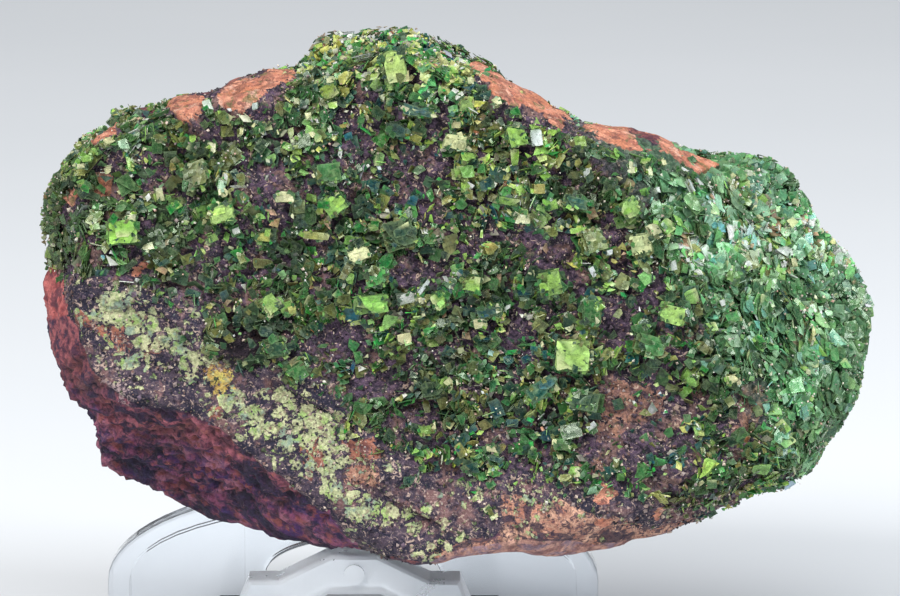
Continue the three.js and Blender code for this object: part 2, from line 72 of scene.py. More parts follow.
RIM = np.array(
    [17, 15.5, 13, 11.5, 10.5, 8.5, 7.5, 8, 9, 9.5, 9, 8.5, 9, 11, 15, 17.5, 16, 11,
     5.5, 5, 5.5, 8, 11, 15.0]
)
FRONT = (-5, 0, 1.6, 0.015, 0.03)
FACES = [
    ((23.1, 0.3, 1.7, 0.73, 0.43), 1.6),
    ((34.5, 0.0, 9.0, 1.15, 0.4), 3.0),
    ((11.0, 17.0, 3.2, 1.45, 2.9), 0.9),
    ((-21.7, 19.4, 3.0, -0.8, 2.8), 0.9),
    ((-36.6, -4.0, 3.6, -2.3, -0.25), 0.8),
    ((26.0, -19.6, 3.4, 0.5, -1.7), 0.9),
]
TOP_RIGHT, TOP_RIGHT_END = 2, 24.5  # this face stops falling away to the right of there
UNDER_A = (-16.9, -18.4, 3.4, -0.99, -1.39)
UNDER_B = (-30.0, -11.2, 3.4, -0.38, -1.55)
FOOT = (-25.9, 4.5, 0.285)
BACK = [
    (0.06, 0.97, -0.23, 36.5), (-0.1, 0.86, 0.5, 36.0), (-0.62, 0.76, 0.18, 37.5),
    (0.5, 0.85, 0.16, 40.5), (0.33, 0.78, -0.53, 38.0), (-0.42, 0.68, -0.6, 39.5),
    (0.35, 0.62, 0.7, 36.0), (-0.45, 0.55, 0.7, 37.0),
]
CHIPS = [
    (0.164, 0.399, 0.902, 28.35), (-0.769, 0.382, 0.513, 39.84),
    (-0.572, 0.729, 0.375, 36.95), (0.006, 0.919, 0.394, 36.38),
    (-0.349, 0.784, -0.514, 38.97), (0.35, 0.752, -0.558, 36.08),
    (0.742, 0.669, 0.04, 44.5), (-0.39, 0.921, 0.01, 38.81),
    (-0.775, 0.561, -0.292, 40.87), (0.598, 0.435, -0.674, 38.87),
    (0.739, 0.505, 0.445, 41.44), (-0.43, 0.455, 0.78, 33.96),
    (0.354, 0.71, 0.609, 35.82), (0.323, 0.944, 0.063, 38.58),
]
WAVES = [
    (0.42, 0.31, 0.12, 0.22, 0.4), (0.36, -0.24, 0.2, 0.38, 1.9),
    (0.3, 0.45, -0.3, -0.27, 3.1), (0.26, 0.15, 0.42, -0.52, 4.4),
    (0.2, -0.66, 0.25, 0.31, 5.2), (0.16, 0.52, 0.55, 0.6, 0.9),
]
DRUSE_AREA = [
    (-44, 6), (-44, 20), (-36, 22), (-31, 17.6), (-23, 17.4), (-19.5, 18.4),
    (-15, 20.6), (-17, 28), (2, 30), (3.2, 20.8), (5.2, 18.0), (9.8, 16.2),
    (14.8, 14.2), (19.6, 12.2), (23.0, 11.6), (25.5, 19), (36, 17), (46, 2),
    (44, -14), (33.5, -21), (28, -18.4), (23.5, -20.2), (18, -19.4), (12.5, -18.2),
    (6.5, -17.8), (0, -18.2), (-3.2, -16.0), (-8.0, -13.2), (-11.8, -9.4),
    (-18.0, -6.2), (-23.8, -4.6), (-25.2, -1.4), (-29.0, 0.8), (-34.8, 2.0),
    (-38, 3.2),
]
LEDGE_AREA = [
    (-35.0, 0.2), (-29.6, -0.9), (-27.0, -3.2), (-24.6, -6.4), (-18.8, -8.0),
    (-13.0, -11.0), (-9.6, -12.8), (-9.0, -15.6), (-7.4, -19.2), (-4.2, -21.2),
    (-1.4, -22.9), (-4.4, -23.9), (-9.8, -20.8), (-13.8, -17.2), (-18.6, -13.4),
    (-23.6, -10.6), (-28.4, -8.9), (-33.2, -7.4), (-34.6, -3.6),
]


def smax(a, b, k):
    h = np.maximum(k - np.abs(a - b), 0) / k
    return np.maximum(a, b) + h * h * k / 4


def around(table, turn):
    n = len(table)
    x = np.mod(turn, 1) * n
    i = np.floor(x).astype(int)
    t = x - i
    a, b, c, d = (table[(i + k) % n] for k in (-1, 0, 1, 2))
    return b + 0.5 * t * (
        c - a + t * (2 * a - 5 * b + 4 * c - d + t * (3 * (b - c) + d - a))
    )


def face(f, u, w, v):
    return (f[2] + f[3] * (u - f[0]) + f[4] * (v - f[1]) - w) / math.sqrt(
        1 + f[3] ** 2 + f[4] ** 2
    )


def stone(u, w, v):
    """Distance-like: negative inside, zero at the crystal tips."""
    q = 1 + w / VIEW
    ua, va = u / q, v / q
    turn = np.arctan2(va - CENTRE[2], ua - CENTRE[0]) / (2 * math.pi)
    rim = around(RIM, turn)
    radius = around(SILHOUETTE, turn) + 0.15
    ahead, behind = np.maximum(rim - w, 0), np.maximum(w - rim, 0)
    barrel = 1 - 0.00042 * ahead**2 - 0.00062 * behind**2 - 0.0015 * behind
    edge = np.hypot(ua - CENTRE[0], va - CENTRE[2]) - radius * barrel
    wave = 0
    for a, ku, kw, kv, ph in WAVES:
        wave = wave + a * np.sin(ku * u + kw * w + kv * v + ph)
    f = face(FRONT, u, w, v)
    for i, (plane, k) in enumerate(FACES):
        along = -smax(-u, -TOP_RIGHT_END, 4.0) if i == TOP_RIGHT else u
        f = smax(f, face(plane, along, w, v), k)
    f = smax(f, -smax(-face(UNDER_A, u, w, v), -face(UNDER_B, u, w, v), 1.5), 0.8)
    b = -1e9
    for nu, nw, nv, d in BACK:
        b = smax(b, nu * u + nw * w + nv * v - d, 3.0)
    foot = (FOOT[0] + FOOT[2] * (w - FOOT[1]) - v) / math.hypot(1, FOOT[2])
    s = smax(f, b, 2.0) + wave * 0.55
    s = smax(s, foot + wave * 0.2, 1.0)
    s = smax(s, edge, 0.9)
    for nu, nw, nv, d in CHIPS:
        s = smax(s, nu * u + nw * w + nv * v - d, 0.5)
    return s


def gradient(p):
    e = 0.05
    g = np.stack(
        [
            stone(p[:, 0] + e, p[:, 1], p[:, 2]) - stone(p[:, 0] - e, p[:, 1], p[:, 2]),
            stone(p[:, 0], p[:, 1] + e, p[:, 2]) - stone(p[:, 0], p[:, 1] - e, p[:, 2]),
            stone(p[:, 0], p[:, 1], p[:, 2] + e) - stone(p[:, 0], p[:, 1], p[:, 2] - e),
        ],
        -1,
    )
    return g / np.linalg.norm(g, axis=1, keepdims=True)


def reach(d, depth, steps=26):
    lo = np.full(len(d), 2.0)
    hi = np.full(len(d), 60.0)
    for _ in range(steps):
        m = (lo + hi) / 2
        s = stone(CENTRE[0] + d[:, 0] * m, CENTRE[1] + d[:, 1] * m, CENTRE[2] + d[:, 2] * m)
        inside = s + depth < 0
        lo = np.where(inside, m, lo)
        hi = np.where(inside, hi, m)
    return (lo + hi) / 2


def world(p):
    """Stone axes in mm to the part's frame in metres."""
    c, s = math.cos(LEAN), math.sin(LEAN)
    u, w, v = p[..., 0], p[..., 1], p[..., 2]
    return np.stack([u, w * c + v * s, -w * s + v * c], -1) * 0.001 + SHIFT * 0.001


def inside(poly, x, y):
    """Signed distance to a closed outline, positive inside."""
    best = np.full(np.shape(x), 1e9)
    odd = np.zeros(np.shape(x), bool)
    for (ax, ay), (bx, by) in zip(poly, poly[1:] + poly[:1]):
        ex, ey = bx - ax, by - ay
        t = np.clip(((x - ax) * ex + (y - ay) * ey) / (ex * ex + ey * ey), 0, 1)
        best = np.minimum(best, np.hypot(x - ax - t * ex, y - ay - t * ey))
        if ay != by:
            odd ^= ((ay > y) != (by > y)) & (x < (bx - ax) * (y - ay) / (by - ay) + ax)
    return np.where(odd, best, -best)


def smooth(a, b, x):
    t = np.clip((x - a) / (b - a), 0, 1)
    return t * t * (3 - 2 * t)


# ------------------------------------------------------------------ seeded noise
def hashed(i, j, k, seed):
    h = (i * 374761393 + j * 668265263 + k * 2147483647 + seed * 1274126177) & 0xFFFFFFFF
    h = ((h ^ (h >> 13)) * 1274126177) & 0xFFFFFFFF
    h = ((h ^ (h >> 16)) * 2246822519) & 0xFFFFFFFF
    return ((h ^ (h >> 15)) & 0xFFFFFF) / float(0xFFFFFF)


def vnoise(p, seed):
    """Smooth value noise, -1 to 1."""
    f = np.floor(p)
    i = f.astype(np.int64)
    t = p - f
    t = t * t * t * (t * (t * 6 - 15) + 10)
    out = 0
    for dx in (0, 1):
        for dy in (0, 1):
            for dz in (0, 1):
                wgt = (
                    (t[..., 0] if dx else 1 - t[..., 0])
                    * (t[..., 1] if dy else 1 - t[..., 1])
                    * (t[..., 2] if dz else 1 - t[..., 2])
                )
                out = out + wgt * hashed(
                    i[..., 0] + dx, i[..., 1] + dy, i[..., 2] + dz, seed
                )
    return out * 2 - 1


TURN = np.array(
    [[0.36, 0.48, -0.8], [-0.8, 0.6, 0.0], [0.48, 0.64, 0.6]]
)  # octaves are turned, so no grid shows


def fbm(p, seed, octaves=4, gain=0.5):
    a, s, out = 1.0, 0.0, 0
    for o in range(octaves):
        out = out + a * vnoise(p, seed + o)
        s += a
        a *= gain
        p = p @ TURN.T * 2.03 + 7.3
    return out / s


def ridged(p, seed, octaves=4):
    a, s, out = 1.0, 0.0, 0
    for o in range(octaves):
        out = out + a * (1 - 2 * np.abs(vnoise(p, seed + o)))
        s += a
        a *= 0.5
        p = p @ TURN.T * 2.1 + 3.1
    return out / s


def cells(p, seed):
    """Distances to the two nearest scattered points, and a number for the nearest."""
    f = np.floor(p).astype(np.int64)
    d1 = np.full(p.shape[:-1], 9.0)
    d2 = d1.copy()
    ident = np.zeros(p.shape[:-1])
    for dx in (-1, 0, 1):
        for dy in (-1, 0, 1):
            for dz in (-1, 0, 1):
                i, j, k = f[..., 0] + dx, f[..., 1] + dy, f[..., 2] + dz
                q = np.stack(
                    [
                        i + hashed(i, j, k, seed),
                        j + hashed(i, j, k, seed + 1),
                        k + hashed(i, j, k, seed + 2),
                    ],
                    -1,
                )
                d = np.linalg.norm(q - p, axis=-1)
                near = d < d1
                d2 = np.where(near, d1, np.minimum(d2, d))
                ident = np.where(near, hashed(i, j, k, seed + 3), ident)
                d1 = np.where(near, d, d1)
    return d1, d2, ident


# ------------------------------------------------------------------ small helpers
def lin(r, g, b, a=1.0):
    """0-255 display colour to linear."""
    out = []
    for c in (r, g, b):
        c /= 255
        out.append(c / 12.92 if c <= 0.04045 else ((c + 0.055) / 1.055) ** 2.4)
    return (*out, a)


def mesh_from(name, verts, loops, starts, totals):
    me = bpy.data.meshes.new(name)
    me.vertices.add(len(verts))
    me.vertices.foreach_set("co", np.asarray(verts, np.float32).ravel())
    me.loops.add(len(loops))
    me.loops.foreach_set("vertex_index", np.asarray(loops, np.int32))
    me.polygons.add(len(starts))
    me.polygons.foreach_set("loop_start", np.asarray(starts, np.int32))
    me.polygons.foreach_set("loop_total", np.asarray(totals, np.int32))
    me.update(calc_edges=True)
    me.validate()
    return me


def put(me, name, domain, kind, values):
    at = me.attributes.new(name, kind, domain)
    key = {"FLOAT_COLOR": "color", "FLOAT_VECTOR": "vector", "FLOAT": "value"}[kind]
    at.data.foreach_set(key, np.asarray(values, np.float32).ravel())


def link(me, name, material):
    ob = bpy.data.objects.new(name, me)
    bpy.context.scene.collection.objects.link(ob)
    me.materials.append(material)
    return ob


class Tree:
    """Short way to write shader nodes."""

    def __init__(self, name):
        self.mat = bpy.data.materials.new(name)
        self.mat.use_nodes = True
        self.t = self.mat.node_tree
        self.t.nodes.clear()
        self.out = self.t.nodes.new("ShaderNodeOutputMaterial")

    def n(self, kind, ins=None, **props):
        node = self.t.nodes.new(kind)
        for k, v in props.items():
            setattr(node, k, v)
        for k, v in (ins or {}).items():
            s = node.inputs[k]
            if isinstance(v, bpy.types.NodeSocket):
                self.t.links.new(v, s)
            else:
                s.default_value = v
        return node

    def noise(self, co, scale, detail=4, rough=0.55, distort=0.0):
        return self.n(
            "ShaderNodeTexNoise",
            {"Vector": co, "Scale": scale, "Detail": detail, "Roughness": rough, "Distortion": distort},
        ).outputs["Fac"]

    def ramp(self, fac, lo, hi, a=0.0, b=1.0):
        return self.n(
            "ShaderNodeMapRange",
            {"Value": fac, "From Min": lo, "From Max": hi, "To Min": a, "To Max": b},
            clamp=True,
        ).outputs[0]

    def mix(self, fac, a, b, blend="MIX"):
        m = self.n("ShaderNodeMix", data_type="RGBA", blend_type=blend)
        for i, v in ((0, fac), (6, a), (7, b)):
            if isinstance(v, bpy.types.NodeSocket):
                self.t.links.new(v, m.inputs[i])
            else:
                m.inputs[i].default_value = v
        return m.outputs[2]

    def math(self, op, a, b=0.0, clamp=False):
        m = self.n("ShaderNodeMath", operation=op, use_clamp=clamp)
        for i, v in ((0, a), (1, b)):
            if isinstance(v, bpy.types.NodeSocket):
                self.t.links.new(v, m.inputs[i])
            else:
                m.inputs[i].default_value = v
        return m.outputs[0]

    def bump(self, height, strength, distance, normal=None):
        ins = {"Height": height, "Strength": strength, "Distance": distance}
        if normal is not None:
            ins["Normal"] = normal
        return self.n("ShaderNodeBump", ins).outputs[0]

    def principled(self, **ins):
        b = self.n("ShaderNodeBsdfPrincipled", {k.replace("_", " "): v for k, v in ins.items()})
        self.t.links.new(b.outputs[0], self.out.inputs[0])
        return b


# ------------------------------------------------------------------ the rock
def geodesic(n):
    g = (1 + 5**0.5) / 2
    v = np.array(
        [(-1, g, 0), (1, g, 0), (-1, -g, 0), (1, -g, 0), (0, -1, g), (0, 1, g),
         (0, -1, -g), (0, 1, -g), (g, 0, -1), (g, 0, 1), (-g, 0, -1), (-g, 0, 1)],
        float,
    )
    v /= np.linalg.norm(v[0])
    f = [(0, 11, 5), (0, 5, 1), (0, 1, 7), (0, 7, 10), (0, 10, 11), (1, 5, 9),
         (5, 11, 4), (11, 10, 2), (10, 7, 6), (7, 1, 8), (3, 9, 4), (3, 4, 2),
         (3, 2, 6), (3, 6, 8), (3, 8, 9), (4, 9, 5), (2, 4, 11), (6, 2, 10),
         (8, 6, 7), (9, 8, 1)]
    ij = np.array([(i, j) for i in range(n + 1) for j in range(n + 1 - i)])
    index = {tuple(x): k for k, x in enumerate(ij)}
    tri = []
    for i in range(n):
        for j in range(n - i):
            a, b, c = index[(i, j)], index[(i + 1, j)], index[(i, j + 1)]
            tri.append((a, b, c))
            if i + j < n - 1:
                tri.append((b, index[(i + 1, j + 1)], c))
    tri = np.array(tri)
    pts, tris = [], []
    for a, b, c in f:
        i, j = ij[:, :1] / n, ij[:, 1:] / n
        pts.append(v[a] * (1 - i - j) + v[b] * i + v[c] * j)
        tris.append(tri + len(pts[:-1]) * len(ij))
    pts, tris = np.concatenate(pts), np.concatenate(tris)
    key = np.round(pts * 1e6).astype(np.int64)
    _, first, back = np.unique(key, axis=0, return_index=True, return_inverse=True)
    pts = pts[first]
    tris = back.ravel()[tris]
    return pts / np.linalg.norm(pts, axis=1, keepdims=True), tris


sphere, tris = geodesic(94)
# crowd the vertices towards the crystal face
A = 0.16
c = -sphere[:, 1]
c2 = (c + A) / (1 + A * c)
side = np.sqrt(np.maximum(1 - c2**2, 0) / np.maximum(1 - c**2, 1e-12))
sphere = np.stack([sphere[:, 0] * side, -c2, sphere[:, 2] * side], -1)
dirs = sphere * np.array([40.0, 19.0, 26.0])
dirs /= np.linalg.norm(dirs, axis=1, keepdims=True)
tip_r = reach(dirs, 0.0)
tips = np.array(CENTRE) + dirs * tip_r[:, None]


def seen_at(p):
    """Where a point shows from the front: image-plane mm, and pixels of a 900 by 596 frame."""
    q = 1 + p[:, 1] / VIEW
    ua, va = p[:, 0] / q, p[:, 2] / q
    return ua, va, 450 + ua / 0.0964, 298 - va / 0.0964


def rim_at(ua, va):
    return around(RIM, np.arctan2(va - CENTRE[2], ua - CENTRE[0]) / (2 * math.pi))


tu, tv, tx, ty = seen_at(tips)
t_rim = rim_at(tu, tv)
behind = tips[:, 1] - t_rim + 3.2 * fbm(tips * 0.22, 141, 4)  # how far round the back, with a ragged border
facing = 1 - smooth(5.5, 9.5, behind)  # 1 on what the crystal side shows


def near_edge(p):
    """1 along the silhouette, 0 on the broad face."""
    ua, va, _, _ = seen_at(p)
    return smooth(-5.0, -1.0, p[:, 1] - rim_at(ua, va))


def hummocks(p):
    """How far the druse dips below its highest tips, mm."""
    return 0.75 * smooth(-0.55, 0.45, fbm(p * 0.33, 19, 3)) * (1 - 0.85 * near_edge(p))


def box_mask(x, y, spots, grow=0.0):
    """Soft oval masks: each spot is x0, x1, y0, y1 in frame pixels."""
    m = np.zeros(np.shape(x))
    for x0, x1, y0, y1 in spots:
        cx, cy, rx, ry = (x0 + x1) / 2, (y0 + y1) / 2, (x1 - x0) / 2, (y1 - y0) / 2
        d = np.hypot((x - cx) / (rx + grow), (y - cy) / (ry + grow))
        m = np.maximum(m, 1 - smooth(0.75, 1.25, d))
    return m


def poly_mask(x, y, polys, soft=5.0, grow=0.0):
    m = np.zeros(np.shape(x))
    for p in polys:
        m = np.maximum(m, smooth(-soft, soft, inside(p, x, y) + grow))
    return m


# outlines in frame pixels, read off
ORANGE = [
    [(165, 101), (175, 94), (193, 94), (208, 95), (204, 107), (196, 116), (189, 121), (188, 133), (183, 133), (182, 120), (172, 115), (166, 110)],
    [(219, 98), (221, 90), (235, 80), (252, 80), (262, 75), (265, 70), (278, 67), (293, 64), (300, 65), (287, 81), (278, 88), (268, 90), (262, 98), (249, 110), (239, 111), (227, 106), (220, 110)],
    [(84, 140), (97, 129), (107, 123), (112, 115), (118, 119), (113, 131), (99, 141), (88, 145)],
    [(468, 57), (478, 56), (487, 61), (498, 70), (506, 78), (518, 84), (530, 89), (544, 98), (554, 106), (565, 108), (574, 118), (560, 117), (566, 127), (553, 127), (542, 112), (530, 106), (515, 106), (501, 100), (491, 90), (488, 79), (478, 76), (470, 69)],
    [(581, 122), (613, 124), (628, 127), (632, 135), (640, 148), (650, 150), (665, 154), (684, 166), (691, 176), (702, 176), (711, 169), (723, 166), (732, 162), (718, 157), (692, 148), (679, 147), (666, 136), (654, 132), (636, 129), (660, 136), (662, 150), (634, 152), (627, 149), (604, 142), (596, 135), (588, 131)],
]
ORANGE_SPOTS = [  # x0, x1, y0, y1
    (60, 80, 176, 206), (92, 112, 172, 196), (130, 147, 262, 277),
    (594, 618, 486, 506), (598, 612, 516, 530), (655, 664, 508, 518),
    (437, 450, 57, 75), (318, 342, 34, 52), (358, 396, 19, 34),
]
WARM = [[(92, 384), (140, 402), (210, 410), (262, 450), (306, 484), (296, 498), (240, 466), (190, 444), (120, 434), (94, 412)]]
BAND_LOW = [[(40, 316), (84, 316), (110, 380), (100, 408), (50, 392)]]
TAN = [
    [(500, 498), (520, 494), (540, 500), (560, 498), (584, 508), (606, 516), (640, 524), (640, 556), (560, 564), (500, 556), (440, 566), (424, 552), (470, 540), (500, 530)],
    [(342, 470), (360, 466), (378, 470), (380, 486), (346, 490)],
    [(618, 382), (632, 381), (634, 394), (620, 395)],
    [(618, 414), (636, 413), (638, 427), (620, 428)],
    [(697, 394), (712, 393), (714, 406), (699, 407)],
    [(730, 422), (748, 421), (750, 438), (732, 440)],
    [(470, 536), (560, 536), (640, 530), (700, 516), (700, 536), (640, 556), (560, 572), (470, 572)],
    [(780, 474), (806, 466), (820, 484), (790, 494)],
]
GREY_BAND = [[(448, 552), (480, 545), (520, 541), (560, 540), (596, 545), (640, 541), (700, 522), (770, 504), (806, 486), (830, 500), (780, 530), (640, 580), (430, 590), (430, 562)]]
FILM = [
    [(96, 298), (112, 288), (140, 286), (152, 300), (162, 320), (150, 330), (136, 338), (122, 326), (98, 322)],
    [(148, 322), (176, 326), (186, 340), (170, 348), (150, 338)],
    [(178, 296), (196, 292), (206, 304), (196, 314), (180, 306)],
    [(114, 354), (136, 354), (138, 366), (116, 368)],
    [(158, 358), (196, 356), (204, 380), (176, 384)],
    [(124, 326), (150, 324), (184, 344), (232, 360), (250, 380), (214, 384), (170, 366), (134, 352)],
    [(96, 330), (110, 328), (116, 352), (104, 356)],
    [(214, 384), (240, 386), (248, 404), (262, 388), (300, 392), (346, 402), (348, 430), (336, 452), (330, 484), (302, 480),
     (288, 452), (262, 432), (232, 420), (222, 400)],
    [(318, 486), (352, 490), (380, 500), (426, 510), (428, 530), (392, 532), (352, 516), (326, 500)],
]
YELLOW = [[(202, 366), (236, 364), (238, 392), (212, 394)]]
PINK = [[(98, 378), (124, 382), (136, 400), (120, 404), (102, 392)]]
RUST = [
    [(111, 326), (128, 322), (134, 346), (120, 354), (110, 344)], [(208, 406), (226, 404), (232, 418), (212, 420)],
    [(76, 308), (92, 312), (92, 332), (80, 326)], [(300, 440), (320, 436), (330, 470), (306, 478)],
    [(340, 440), (372, 436), (380, 462), (350, 468)], [(140, 346), (160, 344), (164, 356), (144, 358)],
    [(612, 378), (644, 380), (668, 400), (650, 426), (600, 440), (590, 420)], [(694, 388), (716, 392), (714, 410), (696, 408)],
    [(738, 378), (766, 384), (764, 424), (742, 438), (728, 430)], [(572, 460), (604, 456), (610, 476), (580, 480)],
]

wobble = 0.9 * fbm(tips * 0.45, 11, 3)
druse_d = inside(DRUSE_AREA, tu, tv) + wobble
druse_share = smooth(-2.6, 0.9, druse_d) * facing
ledge_d = inside(LEDGE_AREA, tu, tv) + 0.7 * wobble
ledge_share = smooth(-1.4, 1.0, ledge_d) * (tips[:, 1] < 9)
strips = poly_mask(tx, ty, ORANGE, 4.0)  # bare rock that lies flush with the crystals
depth = np.maximum(druse_share * (1 - 0.8 * strips) * (1.1 + 0.8 * hummocks(tips)), ledge_share * 0.95)
rock = np.array(CENTRE) + dirs * reach(dirs, depth)[:, None]


_, _, rx_, ry_ = seen_at(rock)
front_side = facing
warp = 7 * fbm(rock * 0.55, 31, 3)
warp2 = 7 * fbm(rock * 0.55, 37, 3)
wx, wy = rx_ + warp, ry_ + warp2
orange = poly_mask(rx_ + 0.8 * warp, ry_ + 0.8 * warp2, ORANGE, 3.5) * (1 - smooth(6.0, 13.0, behind))
orange = np.maximum(orange, box_mask(rx_ + warp, ry_ + warp2, ORANGE_SPOTS, 0) * front_side)
tan = poly_mask(wx, wy, TAN, 6.0) * front_side
warm = poly_mask(wx, wy, WARM, 8.0) * (1 - smooth(14.0, 24.0, tips[:, 1]))
band_low = poly_mask(wx, wy, BAND_LOW, 8.0)
blur_side = smooth(-30, 40, (rx_ - 590) * 0.859 + (ry_ - 125) * -0.510)
film = poly_mask(wx, wy, FILM, 9.0)
film = np.maximum(film, 1.4 * poly_mask(wx, wy, FILM[:1], 9.0)) * front_side
yellow = poly_mask(wx, wy, YELLOW, 6.0) * front_side
pink = poly_mask(wx, wy, PINK, 5.0) * front_side
rust = poly_mask(wx, wy, RUST, 6.0) * front_side
grey_band = poly_mask(rx_, ry_ + 0.3 * warp, GREY_BAND, 3.0) * (1 - smooth(6.0, 12.0, behind))
dark = smooth(-1.2, 0.2, druse_d + 2.4 * poly_mask(tx, ty, ORANGE, 3.0, 11.0)) * front_side
ledge = poly_mask(
    wx, wy, [[(86, 250), (160, 246), (232, 290), (240, 322), (350, 384), (386, 430), (430, 452), (480, 462),
              (560, 462), (640, 452), (720, 450), (830, 440), (830, 500), (716, 530), (640, 530), (560, 520), (500, 530), (430, 566),
              (368, 556), (330, 516), (262, 464), (205, 420), (140, 406), (112, 392), (92, 364), (82, 336), (62, 290), (56, 262)]], 5.0
) * front_side
left_band = poly_mask(
    rx_ + 0.5 * warp, ry_ + 0.5 * warp2,
    [[(20, 254), (50, 262), (62, 276), (66, 300), (76, 322), (84, 342), (66, 352), (60, 372), (20, 372)]], 3.0
) * (1 - smooth(6.0, 12.0, tips[:, 1] - t_rim))
under_zone = poly_mask(
    wx, wy, [[(20, 372), (90, 390), (140, 404), (210, 418), (262, 464), (330, 516), (372, 556), (372, 640), (20, 640)]], 5.0
) * (1 - smooth(14.0, 24.0, tips[:, 1]))

# relief along the surface normal, mm
n_rock = gradient(rock)
rugged = smooth(-0.2, 0.6, -ledge_d) * smooth(-1.0, 0.0, -druse_d)
bed = rock @ np.array([[0.906, 0.0, 0.423], [0.0, 1.0, 0.0], [-0.423, 0.0, 0.906]]).T  # first axis along the bedding
bed = bed * np.array([0.42, 1.0, 1.0])
d1, d2, ident = cells(bed * 0.55, 41)
slabs = (ident - 0.5) * smooth(0.0, 0.22, d2 - d1)
d1b, d2b, identb = cells(bed * 1.25, 47)
chips = (identb - 0.5) * smooth(0.0, 0.22, d2b - d1b)
d1c, d2c, identc = cells(rock * 1.25, 49)
f1 = fbm(rock * 0.9, 57, 5)
f2 = fbm(rock * 2.6, 61, 3)
lumps = -ridged(rock * 0.50, 51, 4)
knobs = 0.45 - d1c
hackly = 0.75 * slabs + 0.60 * chips + 0.50 * lumps + 0.42 * knobs + 0.25 * f1 + 0.14 * f2
hackly = hackly + 0.40 * under_zone * (-ridged(rock * 1.05, 131, 3) + 0.2)
back_cut = smooth(6.0, 12.0, behind)
d1e, d2e, idente = cells(rock * 0.13, 151)
hackly = hackly * (1 - 0.15 * back_cut) + 1.3 * back_cut * (idente - 0.5) * smooth(0.0, 0.12, d2e - d1e)
calm = 0.26 * f1 + 0.10 * f2 + 0.20 * ridged(rock * 0.8, 53, 4)
granular = 0.26 * f1 + 0.20 * f2 + 0.42 * (0.45 - d1c) + 0.16 * ridged(rock * 1.7, 71, 3)
bare = np.maximum(orange, np.maximum(tan * 0.6, left_band))
relief = hackly * (1 - 0.7 * bare) * rugged + calm * bare
ground = np.maximum(dark, ledge)
relief = relief * (1 - ground) + granular * ground
crust = smooth(0.30, 0.75, film + 0.75 * fbm(rock * 1.1, 81, 4))
relief = relief + crust * (0.14 + 0.16 * f2) * (1 - dark)
# the dark hollow left of the middle of the face
hollow = box_mask(rx_, ry_, [(212, 270, 320, 362)], 6) * front_side
relief = relief - 1.2 * hollow
# nothing grows into the clearance over the stand
wz = world(rock)
over_stand = smooth(0.0185, 0.0150, wz[:, 2])
relief = np.where(relief > 0, relief * (1 - over_stand), relief * (1 - 0.5 * over_stand))
relief = np.clip(relief, -1.7, 0.8)
high_rim = near_edge(tips) * (tv > 0)
relief = np.where(relief > 0, relief * (1 - 0.8 * high_rim), relief * (1 - 0.4 * high_rim))
rock = rock + n_rock * relief[:, None]

rock_mesh = mesh_from(
    "rock_matrix_surface",
    world(rock),
    tris.ravel(),
    np.arange(len(tris)) * 3,
    np.full(len(tris), 3),
)
one = np.ones(len(rock))
# painted shade: points lying low in the relief get a weight that darkens them in the rock shader
hollow_shade = np.clip(0.5 - relief * 0.7, 0, 1)
put(rock_mesh, "zone_a", "POINT", "FLOAT_COLOR", np.stack([film, orange, dark, one], -1))
put(rock_mesh, "zone_b", "POINT", "FLOAT_COLOR", np.stack([yellow, tan, left_band, one], -1))
put(rock_mesh, "zone_c", "POINT", "FLOAT_COLOR", np.stack([hollow_shade, pink, grey_band, one], -1))
put(rock_mesh, "zone_d", "POINT", "FLOAT_COLOR", np.stack([ledge, under_zone, rust, one], -1))
put(rock_mesh, "zone_e", "POINT", "FLOAT_COLOR", np.stack([warm, band_low, blur_side, one], -1))
rock_mesh.shade_smooth()


